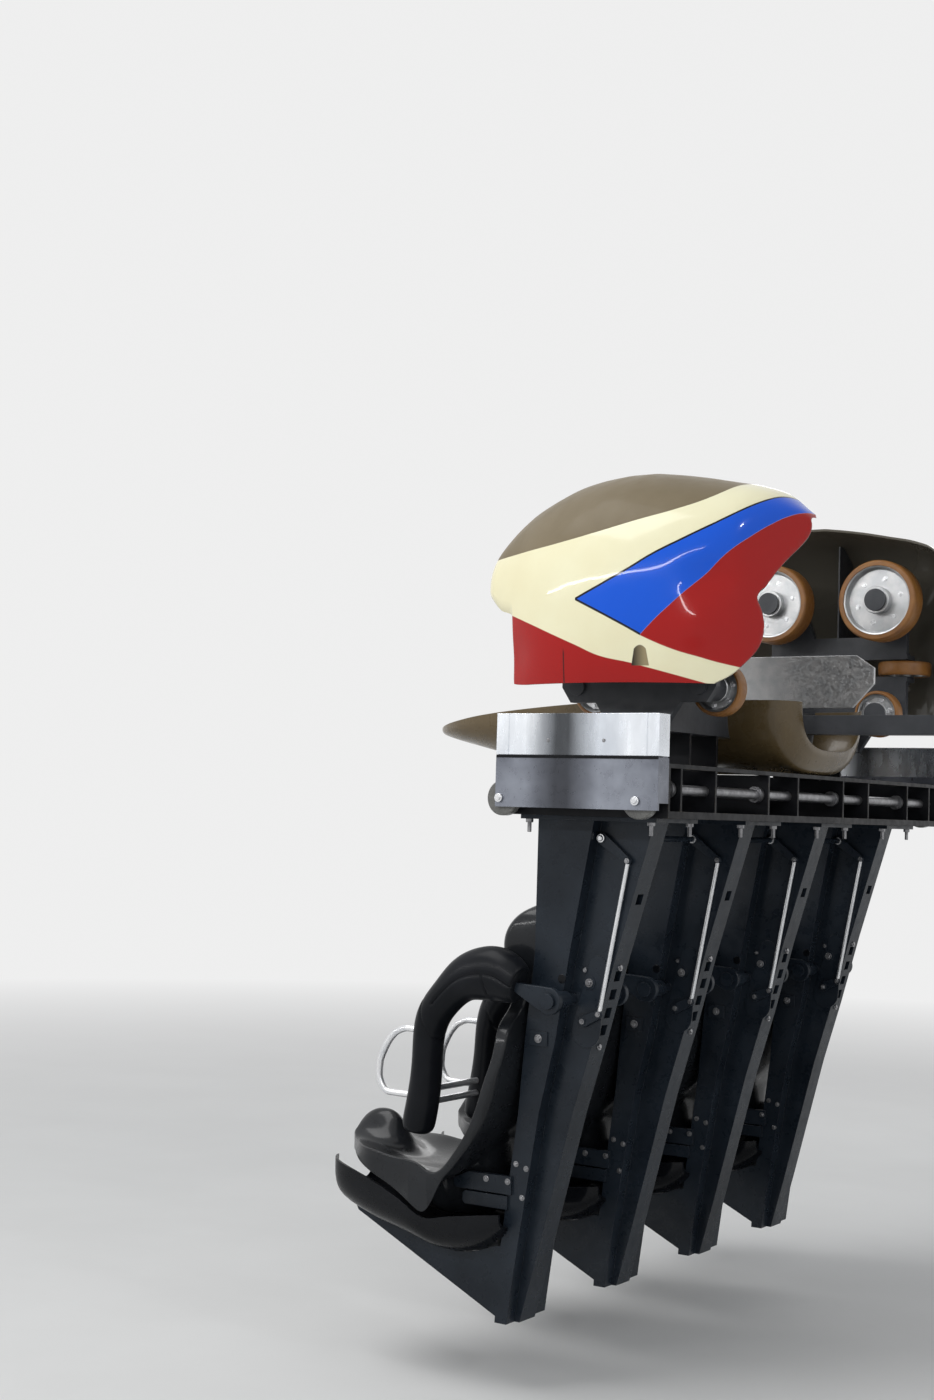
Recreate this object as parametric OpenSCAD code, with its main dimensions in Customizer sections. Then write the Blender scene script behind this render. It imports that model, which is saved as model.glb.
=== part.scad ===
// Suspended roller coaster car: one row of four seats hanging under a two-rail track.
// X is forward, Y is the car's left, Z is up; the origin lies between the rails, at the height of
// their axes and halfway between the front and rear wheels. All lengths are in millimetres.

/* [Track] */
// Outer radius of a running rail
rail_r = 84; // [76:1:90]
// Distance from the centreline to a rail's axis
rail_y = 620; // [600:1:640]

/* [Wheels] */
// Radius of a road wheel, which runs on top of a rail
road_r = 140; // [125:1:150]
// Width of a road wheel
road_w = 90; // [70:1:100]
// Distance of the road wheels forward and back of the origin
road_x = 200; // [170:1:210]
// Radius of a guide wheel, which runs on a rail's outer side
guide_r = 92; // [80:1:96]
// Width of a guide wheel
guide_w = 56; // [40:1:64]
// Distance of the guide wheels forward and back of the origin
guide_x = 225; // [215:1:235]
// Radius of an upstop wheel, which runs under a rail
upstop_r = 80; // [70:1:85]
// Width of an upstop wheel
upstop_w = 60; // [50:1:70]
// Distance of the upstop wheels forward and back of the origin
upstop_x = 200; // [190:1:230]
// Running gap between a rail and an upstop wheel
upstop_gap = 4; // [2:1:8]
// Radius of the axles of the road and upstop wheels
axle_r = 25; // [20:1:28]
// Radius of the axles of the guide wheels
guide_axle_r = 18; // [15:1:22]
// Radial running clearance of a wheel on its axle
axle_fit = 0.08; // [0.05:0.01:0.1]
// Side gap between a wheel's hub and the shoulders beside it
hub_gap = 1; // [0.5:0.5:3]

/* [Wheel carriers] */
// Thickness of the carrier plate
carrier_t = 25; // [18:1:30]
// Gap between a rail's outer side and the carrier plate
carrier_gap = 24; // [18:1:30]
// Thickness of the lugs that hold the guide wheels
lug_t = 16; // [10:1:20]

/* [Chassis] */
// Width of the axle beam, along the car
beam_l = 170; // [140:2:200]
// Height of the axle beam
beam_h = 110; // [90:1:110]
// Height of the origin above the top of the axle beam
beam_drop = 185; // [180:1:190]
// Distance from the origin to a coupling's pin, forward and back
coupling_x = 800; // [760:5:840]
// Radius of a coupling's bore
coupling_r = 20; // [15:1:25]
// Thickness of a coupling's eye
coupling_t = 40; // [30:1:50]

/* [Row frame] */
// Length of the row frame, along the car
row_l = 520; // [500:2:560]
// Distance from the post of an end seat to the row frame's end
row_side = 76.5; // [60:0.5:85]
// Height of the row frame
row_h = 150; // [130:1:160]
// Height of the origin above the row frame's bottom
row_drop = 550; // [540:1:560]
// Thickness of the row frame's bottom flange
row_flange_t = 20; // [12:1:24]
// Thickness of the row frame's ribs and webs
row_rib_t = 10; // [8:1:14]
// Radius of the release shaft in the row frame
shaft_r = 15; // [10:1:18]

/* [Row ends] */
// Height of the bright upper cover at a row end
end_cover_h = 116; // [100:1:120]
// Depth of the row ends, across the car
end_d = 61; // [55:1:70]
// Height of the dark end plate
end_plate_h = 144; // [130:1:150]
// Thickness of the end plate
end_plate_t = 8; // [5:1:10]
// Radius of the side rollers
roller_r = 50; // [40:1:54]
// Width of the side rollers
roller_w = 30; // [20:1:34]
// Radius of the side rollers' pins
roller_pin_r = 10; // [8:1:12]

/* [Seats] */
// Distance between neighbouring seats
seat_pitch = 571; // [560:1:571]
// Width of the front box of a seat post
post_w = 214; // [200:1:220]
// Width of the rear rib of a seat post
rib_w = 85; // [70:1:90]
// Offset of the rib to the car's left of the seat's middle
rib_shift = 18; // [12:1:18]
// Wall thickness of a seat tray
tray_t = 9; // [7:1:12]
// Width of a seat tray
tray_w = 400; // [370:2:420]

/* [Restraints] */
// Half distance between a restraint's two tubes at the shoulders
restraint_y = 176; // [174:1:180]
// Radius of the soft cover on a restraint's tubes
pad_r = 56; // [52:1:58]
// Radius of a grab handle's rod
handle_r = 10; // [8:1:12]
// Radius of a restraint's hinge pin
hinge_r = 16; // [12:1:18]

/* [Covers] */
// Wall thickness of the wheel covers and the belly cover
skin_t = 8; // [6:1:10]

/* [Hidden] */
SEATS = [1, 2, 3, 4];
ENDS = ["front", "rear"];
$fn = 48;
EPS = 0.01;

// Wheel places
road_z = rail_r + road_r;
guide_y = rail_y + rail_r + guide_r;
upstop_z = -(rail_r + upstop_gap + upstop_r);
plate_y = rail_y + rail_r + carrier_gap;
plate_out_y = plate_y + carrier_t;
lug_gap = 2;
lug_z = guide_w / 2 + lug_gap;
cap_t = 10;
shoulder_r = axle_r + 13;
cover_in_y = 572;
bulkhead_t = 6;
bulkhead_fit = 0.7;

// Chassis places
beam_wall = 14;
bay_y = 390;
bay_w = 460;
beam_top = -beam_drop;
beam_bottom = beam_top - beam_h;
row_bottom = -row_drop;
row_top = row_bottom + row_h;
row_floor = row_bottom + row_flange_t;
row_x = row_l / 2;
row_y = 1.5 * seat_pitch + post_w / 2 + row_side;
end_y = row_y + end_d;
plate_bottom = row_floor;
plate_top = plate_bottom + end_plate_h;
roller_z = plate_bottom + 25;
roller_front_x = row_x - 14;
roller_rear_x = -row_x + 68;
roller_y = end_y - end_plate_t - 6 - roller_w / 2;
cover_wall = 4;
cover_seams = [219, -224];
seam_w = 3;
row_lip_t = 12;
row_lip_w = 34;
shaft_gap = 0.3;
lever_top = [6, row_bottom - 61];
rod_top = [-80, row_bottom - 122];
shaft_x = -225;
shaft_z = row_bottom + 80;

// Seat places: the post's outline in side view, from top to bottom.
// Columns: height, front face, step between box and rib, rear face of the rib
POST = [
    [row_bottom, 197, 12, -158],
    [-950, 197, 84, -40],
    [-1190, 222, 122, 25],
    [-1400, 238, 170, 87],
    [-1830, 290, 236, 196],
    [-2005, 298, 259, 243]
];
hinge_x = 93;
hinge_z = -1070;
ear_t = 18;
ear_y = restraint_y + 24;

// The post's flange plate, its raised side plate and the recesses in the rib's rear face
foot_x = [-195, 245];
foot_t = 12;
foot_side = 20;
rib_plate_t = 3;
rib_plate = [[15, -972, 28], [48, -1160, 46]];
RIB_BOSSES = [[39, -1022, 19], [54, -987, 8]];
RIB_RECESSES = [-781, -1001, -1054, -1107, -1157];
recess_w = 34;
recess_h = 30;
recess_depth = 22;
side_plate = [[146, -1208], [204, -1208], [204, -1167], [146, -1167]];
gusset_t = 6;
gusset_foot = [277, -1996];
gusset_tip = [792, -1752];

// The release levers on their cross shaft, the rods and the links at their lower ends
lever_shaft_r = 9;
lever_r = 17;
eye_r = 10;
rod_r = 6;
rod_side_gap = 12;
rod_low = [1, -1107];
link_pin = [52, -1131];
link_r = 16;
function seat_y(i) = (2.5 - i) * seat_pitch;
function rib_left(i) = seat_y(i) + rib_shift + rib_w / 2;
function rib_right(i) = seat_y(i) + rib_shift - rib_w / 2;
function side_sign(side) = side == "left" ? 1 : -1;
function end_sign(end) = end == "front" ? 1 : -1;

// Geometry helpers

// A prism across the car from its side view, between two values of Y
module side_prism(points, y0, y1) {
    translate([0, y1, 0])
        rotate([90, 0, 0])
            linear_extrude(height = y1 - y0)
                polygon(points);
}

// Points on an arc from angle a0 to a1
function arc(centre, r, a0, a1) =
    let (steps = 10)
    [for (k = [0 : steps]) let (a = a0 + (a1 - a0) * k / steps) centre + r * [cos(a), sin(a)]];

// The outline of two circles and their outer tangents
function capsule(c1, r1, c2, r2) =
    let (d = c2 - c1, turn = atan2(d[1], d[0]), open = acos((r1 - r2) / norm(d)))
    concat(arc(c1, r1, turn + open, turn + 360 - open), arc(c2, r2, turn - open, turn + open));

// A cylinder across the car, between two values of Y
module cross_rod(x, z, y0, y1, r) {
    translate([x, y1, z])
        rotate([90, 0, 0])
            cylinder(h = y1 - y0, r = r);
}

// A box between two corners
module block(low, high) {
    translate(low) cube(high - low);
}

// A straight rod between two points
module rod(a, b, r) {
    d = b - a;
    translate(a)
        rotate([0, acos(d[2] / norm(d)), atan2(d[1], d[0])])
            cylinder(h = norm(d), r = r);
}

// A closed solid over a row of convex rings, each a list of points
module ring_loft(rings) {
    n = len(rings);
    m = len(rings[0]);
    sides = [for (i = [0 : n - 2]) for (j = [0 : m - 1])
        [i * m + j, i * m + (j + 1) % m, (i + 1) * m + (j + 1) % m, (i + 1) * m + j]];
    first = [for (j = [m - 1 : -1 : 0]) j];
    last = [for (j = [0 : m - 1]) (n - 1) * m + j];
    polyhedron(points = [for (ring = rings) each ring], faces = concat(sides, [first, last]), convexity = 6);
}

// A thin wall over a row of sections. Each section has an outer and an inner line of as many points
module wall_loft(outer, inner) {
    n = len(outer);
    m = len(outer[0]);
    far = n * m;
    skins = [for (i = [0 : n - 2]) for (j = [0 : m - 2])
        let (a = i * m + j, b = a + 1, c = b + m, d = a + m)
        each [[a, b, c, d], [far + d, far + c, far + b, far + a]]];
    edges = [for (i = [0 : n - 2])
        let (a = i * m, b = a + m, c = a + m - 1, d = b + m - 1)
        each [[a, b, far + b, far + a], [c, far + c, far + d, d]]];
    caps = [for (j = [0 : m - 2])
        let (z = (n - 1) * m + j)
        each [[j, far + j, far + j + 1, j + 1], [z, z + 1, far + z + 1, far + z]]];
    polyhedron(points = concat([for (line = outer) each line], [for (line = inner) each line]),
               faces = concat(skins, edges, caps), convexity = 6);
}

// Wheels

// A wheel about Z: tread, rim, thin web and hub
module wheel(r, w, bore_r, hub_r) {
    tread_t = r * 0.14;
    web_h = w * 0.3;
    edge = 5;
    color("#2b2b2e")
    rotate_extrude($fn = 72)
        polygon([
            [bore_r, -w / 2], [hub_r, -w / 2], [hub_r, -web_h / 2], [r - tread_t * 2, -web_h / 2],
            [r - tread_t * 1.6, -w / 2 + 6], [r - tread_t, -w / 2 + 4], [r - edge, -w / 2 + 4],
            [r, -w / 2 + 4 + edge], [r, w / 2 - 4 - edge],
            [r - edge, w / 2 - 4], [r - tread_t, w / 2 - 4], [r - tread_t * 1.6, w / 2 - 6],
            [r - tread_t * 2, web_h / 2], [hub_r, web_h / 2], [hub_r, w / 2], [bore_r, w / 2]
        ]);
}

module road_wheel(side, end) {
    translate([end_sign(end) * road_x, side_sign(side) * rail_y, road_z])
        rotate([90, 0, 0])
            wheel(road_r, road_w, axle_r + axle_fit, axle_r + 22);
}

module guide_wheel(side, end) {
    translate([end_sign(end) * guide_x, side_sign(side) * guide_y, 0])
        wheel(guide_r, guide_w, guide_axle_r + axle_fit, guide_axle_r + 16);
}

module upstop_wheel(side, end) {
    translate([end_sign(end) * upstop_x, side_sign(side) * rail_y, upstop_z])
        rotate([90, 0, 0])
            wheel(upstop_r, upstop_w, axle_r + axle_fit, axle_r + 14);
}

// Wheel carriers

// The carrier plate in side view: arms above and below the guide wheels
function carrier_outline() =
    let (top_z = road_z + 50, low_z = upstop_z - 45, mid_x = 105, arm_x = road_x + 55)
    [[-arm_x, lug_z], [-arm_x, road_z + 10], [-arm_x + 40, top_z], [-road_x + 50, top_z],
     [-90, 110], [90, 110],
     [road_x - 50, top_z], [arm_x - 40, top_z], [arm_x, road_z + 10], [arm_x, lug_z],
     [mid_x, lug_z], [mid_x, -lug_z], [arm_x, -lug_z], [arm_x, upstop_z], [arm_x - 30, low_z],
     [upstop_x - 60, low_z], [85, beam_bottom], [-85, beam_bottom], [-upstop_x + 60, low_z],
     [-arm_x + 30, low_z], [-arm_x, upstop_z], [-arm_x, -lug_z], [-mid_x, -lug_z], [-mid_x, lug_z]];

// An axle stub across the car that holds a wheel of width w between a shoulder and an end cap
module wheel_axle(x, z, w) {
    face_out = rail_y + w / 2 + hub_gap;
    face_in = rail_y - w / 2 - hub_gap;
    cross_rod(x, z, face_in - cap_t, plate_out_y + cap_t, axle_r);
    cross_rod(x, z, face_out, plate_y + EPS, shoulder_r);
    cross_rod(x, z, face_in - cap_t, face_in, shoulder_r);
}

// A lug plate that holds one end of a guide wheel's axle
module guide_lug(x, z0) {
    lug_r = guide_axle_r + 16;
    block([x - lug_r, plate_y, z0], [x + lug_r, guide_y, z0 + lug_t]);
    translate([x, guide_y, z0]) cylinder(h = lug_t, r = lug_r);
}

// The bulkhead that carries the wheel cover, cut to the line of the cover's inner face at x = 0
module cover_bulkhead() {
    line = cover_line([for (row = COVER) if (row[0] == 0) row][0], skin_t + bulkhead_fit);
    outer = [for (p = line) if (p[1] > plate_y && p[2] > 60) [p[1], p[2]]];
    translate([-bulkhead_t / 2, 0, 0])
        rotate([90, 0, 90])
            linear_extrude(height = bulkhead_t)
                difference() {
                    polygon(concat([[plate_y, outer[0][1]]], outer,
                                   [[outer[len(outer) - 1][0], 60], [plate_y, 60]]));
                    translate([plate_y + 105, 235]) circle(r = 62);
                }
}

module carrier_body() {
    color("#3a3d42")
    union() {
        side_prism(carrier_outline(), plate_y, plate_out_y);
        cover_bulkhead();
        for (s = [-1, 1]) {
            wheel_axle(s * road_x, road_z, road_w);
            wheel_axle(s * upstop_x, upstop_z, upstop_w);
            guide_lug(s * guide_x, lug_z);
            guide_lug(s * guide_x, -lug_z - lug_t);
            translate([s * guide_x, guide_y, -lug_z - lug_t - cap_t])
                cylinder(h = 2 * (lug_z + lug_t + cap_t), r = guide_axle_r);
        }
    }
}

module carrier(side) {
    if (side == "left") carrier_body();
    else mirror([0, 1, 0]) carrier_body();
}

// Chassis

module axle_beam() {
    color("#2f3236")
    difference() {
        block([-beam_l / 2, -plate_y, beam_bottom], [beam_l / 2, plate_y, beam_top]);
        for (s = [-1, 1])
            block([-beam_l / 2 + beam_wall, s * bay_y - bay_w / 2, beam_bottom + beam_wall],
                  [beam_l / 2 + 1, s * bay_y + bay_w / 2, beam_top - beam_wall]);
    }
}

module brake_fin() {
    fin_x = 430;
    color("#8d9094")
    union() {
        side_prism([[-fin_x, -60], [-fin_x + 60, -20], [fin_x - 60, -20], [fin_x, -60],
                    [fin_x, -110], [fin_x - 70, beam_top], [-fin_x + 70, beam_top], [-fin_x, -110]], -6, 6);
        block([-beam_l / 2, -40, beam_top], [beam_l / 2, 40, beam_top + 14]);
    }
}

// A drawbar that reaches from the axle beam to the coupling pin; dir is 1 forward and -1 rearward
module drawbar_bar(dir, forked) {
    head_r = coupling_r + 28;
    z_mid = beam_top - beam_h / 2;
    eye_h = forked ? coupling_t + 44 : coupling_t;
    color("#36393d")
    difference() {
        union() {
            scale([dir, 1, 1]) {
                block([beam_l / 2, -35, z_mid - 30], [coupling_x - head_r, 35, z_mid + 30]);
                block([beam_l / 2, -70, z_mid - 50], [beam_l / 2 + 14, 70, z_mid + 50]);
                block([coupling_x - head_r - 30, -head_r, z_mid - eye_h / 2],
                      [coupling_x, head_r, z_mid + eye_h / 2]);
            }
            translate([dir * coupling_x, 0, z_mid - eye_h / 2]) cylinder(h = eye_h, r = head_r);
        }
        translate([dir * coupling_x, 0, z_mid - eye_h]) cylinder(h = 2 * eye_h, r = coupling_r);
        if (forked)
            scale([dir, 1, 1])
                block([coupling_x - head_r, -head_r - 1, z_mid - coupling_t / 2 - 2],
                      [coupling_x + head_r + 1, head_r + 1, z_mid + coupling_t / 2 + 2]);
    }
}

module drawbar(end) {
    drawbar_bar(end_sign(end), end == "rear");
}

// Row frame

// Pockets in the bottom flange between the seats. Columns: low y, high y
function row_pockets() =
    let (edge = post_w / 2 + 30, wall = 30)
    [[seat_y(2) + edge, seat_pitch - wall],
     [seat_pitch + wall, seat_y(1) - edge],
     [seat_y(3) + edge, seat_y(2) - edge],
     [seat_y(4) + edge, -seat_pitch - wall],
     [-seat_pitch + wall, seat_y(3) - edge]];

module row_frame() {
    pocket_x = row_x - 66;
    color("#1d1e21")
    difference() {
        union() {
            block([-row_x, -row_y, row_bottom], [row_x, row_y, row_floor]);
            block([row_x - row_rib_t, -row_y, row_floor], [row_x, row_y, row_top]);
            block([-row_x, -row_y, row_top - row_lip_t], [-row_x + row_lip_w, row_y, row_top]);
            for (s = [-1, 1])
                block([-row_x, min(s * row_y, s * (row_y - row_rib_t)), row_floor],
                      [row_x, max(s * row_y, s * (row_y - row_rib_t)), row_top]);
        }
        for (p = row_pockets())
            block([-pocket_x, p[0], row_bottom - 1], [pocket_x, p[1], row_floor + 1]);
    }
}

// Upright ribs beside each seat post, and the towers that reach up to the axle beam
module row_ribs() {
    color("#232529")
    difference() {
        union() {
            for (i = SEATS, s = [-1, 1])
                row_rib(seat_y(i) + s * post_w / 2);
            for (s = [-1, 1], y = [seat_y(2) + post_w / 2, seat_pitch])
                block([-beam_l / 2, s * y - row_rib_t / 2, row_floor],
                      [beam_l / 2, s * y + row_rib_t / 2, beam_bottom]);
        }
        cross_rod(shaft_x, shaft_z, -row_y + row_rib_t, row_y - row_rib_t, shaft_r + shaft_gap);
    }
}

module row_rib(y) {
    block([-row_x, y - row_rib_t / 2, row_floor],
          [row_x - row_rib_t, y + row_rib_t / 2, row_top - row_lip_t]);
}

module release_shaft() {
    color("#b9bcc0")
    union() {
        cross_rod(shaft_x, shaft_z, -row_y + row_rib_t, row_y - row_rib_t, shaft_r);
        for (i = SEATS)
            let (y = seat_y(i) + post_w / 2 + row_rib_t / 2 + 4)
            cross_rod(shaft_x, shaft_z, y, y + 18, shaft_r + 9);
    }
}

// The cross shaft with a lever, a rod and a lower link beside each seat post's rib
module release_rods() {
    lever_t = 8;
    color("#c4c7cb")
    union() {
        cross_rod(lever_top[0], lever_top[1], rib_right(4) - rod_side_gap, rib_left(1) + 2 * rod_side_gap,
                  lever_shaft_r);
        for (i = SEATS) {
            y = rib_left(i) + rod_side_gap;
            side_prism(capsule(lever_top, lever_r, rod_top, eye_r), y - lever_t / 2, y + lever_t / 2);
            side_prism(capsule(rod_low, eye_r + 2, link_pin, link_r), y - lever_t / 2, y + lever_t / 2);
            rod([rod_top[0], y, rod_top[1]], [rod_low[0], y, rod_low[1]], rod_r);
            cross_rod(lever_top[0], lever_top[1], rib_left(i) + 2, y + lever_t, lever_r - 3);
            cross_rod(rod_top[0], rod_top[1], y - lever_t, y + lever_t, eye_r - 1);
            cross_rod(rod_low[0], rod_low[1], y - lever_t, y + lever_t, eye_r - 1);
            cross_rod(link_pin[0], link_pin[1], rib_left(i) + rib_plate_t, y + lever_t, eye_r);
        }
    }
}

// Row ends

module end_cover(side) {
    wall = cover_wall;
    s = side_sign(side);
    z0 = plate_top + 4;
    color("#c9ccd0")
    scale([1, s, 1])
        difference() {
            block([-row_x, row_y, z0], [row_x, end_y, z0 + end_cover_h]);
            block([-row_x + wall, row_y - 1, z0 - 1], [row_x - wall, end_y - wall, z0 + end_cover_h - wall]);
            for (x = cover_seams)
                block([x - seam_w / 2, end_y - seam_w / 2, z0 - 1],
                      [x + seam_w / 2, end_y + 1, z0 + end_cover_h + 1]);
        }
}

module end_plate(side) {
    s = side_sign(side);
    lip = cover_wall + 0.3;
    bracket_t = 10;
    pins = [roller_front_x, roller_rear_x];
    color("#2a2c31")
    scale([1, s, 1])
        union() {
            block([-row_x, end_y - end_plate_t, plate_bottom], [row_x, end_y, plate_top]);
            block([-row_x + lip, row_y, plate_top - bracket_t], [row_x - lip, end_y - lip, plate_top + 14]);
            block([-row_x, row_y, plate_bottom + 20], [-row_x + bracket_t, end_y, plate_top]);
            for (x = pins) {
                cross_rod(x, roller_z, row_y, end_y + 5, roller_pin_r);
                cross_rod(x, roller_z, roller_y + roller_w / 2 + hub_gap, end_y - 1, roller_pin_r + 5);
                cross_rod(x, roller_z, row_y, roller_y - roller_w / 2 - hub_gap, roller_pin_r + 5);
            }
        }
}

module roller(side, end) {
    s = side_sign(side);
    x = end == "front" ? roller_front_x : roller_rear_x;
    color("#d9dbd8")
    translate([x, s * roller_y, roller_z])
        rotate([90, 0, 0])
            rotate_extrude()
                polygon([
                    [roller_pin_r + axle_fit, -roller_w / 2],
                    [roller_r - 3, -roller_w / 2], [roller_r, -roller_w / 2 + 3],
                    [roller_r, roller_w / 2 - 3], [roller_r - 3, roller_w / 2],
                    [roller_pin_r + axle_fit, roller_w / 2]
                ]);
}

// Seats

// The column k of the post's table against its height, as side view points
function post_line(k) = [for (row = POST) [row[k], row[0]]];
function reversed(list) = [for (k = [len(list) - 1 : -1 : 0]) list[k]];

// The place of the post's line k at height z
function post_x(k, z) = lookup(z, [for (row = POST) [row[0], row[k]]]);

// A prism on both sides of the seat at y, between two distances from its middle
module on_both_sides(points, y, near, far) {
    side_prism(points, y + near, y + far);
    side_prism(points, y - far, y - near);
}

// A cylinder on both sides of the seat at y, on the hinge's axis
module hinge_rods(y, near, far, r) {
    cross_rod(hinge_x, hinge_z, y + near, y + far, r);
    cross_rod(hinge_x, hinge_z, y - far, y - near, r);
}

// The post's solid parts: box, rib, flange plate, hinge pin and bosses, gussets and seat brackets
module post_body(i) {
    y = seat_y(i);
    half = post_w / 2;
    bracket_out = 8;
    bracket_in = 12;
    back_end = gusset_top()[len(gusset_rows) - 1] - [35, 0];
    side_prism(concat(post_line(1), reversed(post_line(2))), y - half, y + half);
    side_prism(concat(post_line(2), reversed(post_line(3))), rib_right(i), rib_left(i));
    block([foot_x[0], y - half - foot_side, row_bottom - foot_t],
          [foot_x[1], y + half + foot_side, row_bottom]);
    side_prism(capsule([rib_plate[0][0], rib_plate[0][1]], rib_plate[0][2],
                       [rib_plate[1][0], rib_plate[1][1]], rib_plate[1][2]),
               rib_left(i) - 1, rib_left(i) + rib_plate_t);
    for (b = RIB_BOSSES)
        cross_rod(b[0], b[1], rib_left(i) - 1, rib_left(i) + 2 * rib_plate_t, b[2]);
    cross_rod(hinge_x, hinge_z, y - ear_y - cap_t, y + ear_y + cap_t, hinge_r);
    hinge_rods(y, half - 1, ear_y - ear_t - 3, hinge_r + 8);
    hinge_rods(y, ear_y + hub_gap, ear_y + cap_t, hinge_r + 6);
    on_both_sides(side_plate, y, half - 1, half + 5);
    on_both_sides(concat([gusset_foot, gusset_tip], gusset_top(), [back_end]), y, half - gusset_t, half);
    on_both_sides([[250, -1638], [437, -1638], [447, -1630], [447, -1612], [396, -1588], [250, -1586]],
                  y, half - bracket_in, half + bracket_out);
    on_both_sides([[262, -1681], [407, -1681], [415, -1673], [415, -1651], [407, -1643], [262, -1643]],
                  y, half - bracket_in, half + bracket_out);
}

module seat_post(i) {
    mid = seat_y(i) + rib_shift;
    color("#17181b")
    difference() {
        post_body(i);
        cross_rod(lever_top[0], lever_top[1], rib_right(i) - 1, rib_left(i) + 1, lever_shaft_r + shaft_gap);
        for (z = RIB_RECESSES)
            block([post_x(3, z) - recess_h, mid - recess_w / 2, z - recess_h / 2],
                  [post_x(3, z) + recess_depth, mid + recess_w / 2, z + recess_h / 2]);
    }
}

// The space of the post's front box, with all that lies behind it
module post_space(i) {
    side_prism(concat([[-400, row_bottom]], post_line(1), [[299, -2100], [-400, -2100]]),
               seat_y(i) - post_w / 2 - 0.3, seat_y(i) + post_w / 2 + 0.3);
}

// The seat shell's section: height of the side wings above the middle, as a power curve
function wing(u, h) = h * pow(abs(u), 2.6);

// Height of the saddle's horn over its side distance y
function horn(y, h) = h * exp(-pow(y / 50, 2));

// Wall thickness across the shell, from t in the middle to the edge's own value
function shell_wall(u, t, edge) = t + (edge - t) * pow(abs(u), 8);

// Path of the shell's middle line in side view. Columns: x, z, half width, wing height,
// wall in the middle, wall at the edge, horn height, direction of the front face in degrees above +X
SHELL = [
    [232, -812, 62, -4, 44, 40, 0, 0],
    [268, -830, 82, -6, 80, 72, 0, 0],
    [293, -852, 92, -8, 104, 92, 0, 0],
    [313, -882, 98, -8, 124, 110, 0, 0],
    [322, -914, 100, -8, 132, 118, 0, 0],
    [322, -942, 100, -8, 132, 118, 0, 0],
    [312, -970, 100, -4, 120, 100, 0, 0],
    [290, -1000, 102, 0, 96, 76, 0, 0],
    [266, -1034, 104, 6, 66, 50, 0, 0],
    [258, -1080, 108, 12, 46, 34, 0, 2],
    [259, -1112, 112, 18, 42, 28, 0, 3],
    [262, -1146, 172, 14, 40, 24, 0, 4],
    [265, -1190, 198, 2, 36, 22, 0, 4],
    [271, -1250, 207, 0, 34, 20, 0, 6],
    [276, -1300, 212, 18, 32, 20, 0, 8],
    [298, -1400, 216, 20, 30, 20, 0, 16],
    [338, -1490, 214, 22, 28, 20, 0, 34],
    [404, -1556, 208, 14, 26, 22, 0, 58],
    [444, -1578, 206, -8, 26, 22, 0, 72],
    [478, -1590, 204, 0, 28, 98, 0, 84],
    [506, -1595, 202, 24, 30, 148, 0, 86],
    [534, -1597, 200, 38, 30, 143, 0, 88],
    [600, -1594, 196, 34, 30, 94, 0, 91],
    [650, -1584, 193, 30, 30, 82, 6, 95],
    [690, -1572, 190, 24, 30, 72, 30, 99],
    [740, -1556, 176, 8, 30, 50, 85, 103],
    [790, -1545, 124, 0, 32, 36, 92, 107],
    [828, -1545, 88, 0, 40, 30, 82, 94],
    [850, -1540, 62, 0, 46, 22, 50, 88]
];
SHELL_U = [-1, -0.91, -0.74, -0.5, -0.24, 0, 0.24, 0.5, 0.74, 0.91, 1];

// A section of the shell: points across it, less a share of the wall
function shell_line(row, y, share) =
    [for (u = SHELL_U)
        let (d = wing(u, row[3]) + horn(u * row[2], row[6]) - share * shell_wall(u, row[4], row[5]))
        [row[0] + cos(row[7]) * d, y + u * row[2], row[1] + sin(row[7]) * d]];

module seat_shell(i) {
    color("#141517")
    difference() {
        wall_loft([for (row = SHELL) shell_line(row, seat_y(i), 0)],
                  [for (row = SHELL) shell_line(row, seat_y(i), 1)]);
        post_space(i);
    }
}

// Path of the tray's bottom in side view. Columns: x, bottom z, rim z, share of the full width
TRAY = [
    [262, -1745, -1690, 0.80],
    [300, -1792, -1692, 0.90],
    [380, -1822, -1703, 0.98],
    [440, -1826, -1712, 1.00],
    [492, -1818, -1729, 1.00],
    [550, -1803, -1697, 1.00],
    [620, -1790, -1664, 0.98],
    [704, -1774, -1636, 0.95],
    [800, -1745, -1612, 0.88],
    [860, -1722, -1600, 0.74],
    [884, -1700, -1598, 0.50]
];
TRAY_A = [0, 20, 45, 70, 90, 110, 135, 160, 180];

// Power of the tray's section curve
tub_power = 0.6;

// The line on which the gussets meet the tray, from front to back
gusset_rows = [8, 7, 6, 5, 4, 3, 2, 1];
function gusset_top() = [for (k = gusset_rows)
    let (row = TRAY[k], d = row[2] - row[1],
         share = pow((post_w - 2 * gusset_t) / tray_w / row[3], 1 / tub_power))
    [row[0], row[2] - d * pow(sqrt(1 - share * share), tub_power) - 0.3]];

// A tub's section: half an oval with square shoulders, of half width w and depth d under the rim
function tub_line(x, y, rim, w, d, angles, power) =
    [for (a = angles) [x, y + w * sign(cos(a)) * pow(abs(cos(a)), power), rim - d * pow(sin(a), power)]];

module seat_tray(i) {
    color("#1b1c1f")
    difference() {
        wall_loft(
            [for (row = TRAY)
                tub_line(row[0], seat_y(i), row[2], tray_w / 2 * row[3], row[2] - row[1], TRAY_A, tub_power)],
            [for (row = TRAY)
                tub_line(row[0], seat_y(i), row[2], tray_w / 2 * row[3] - tray_t, row[2] - row[1] - tray_t,
                         TRAY_A, tub_power)]);
        post_space(i);
    }
}

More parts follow.
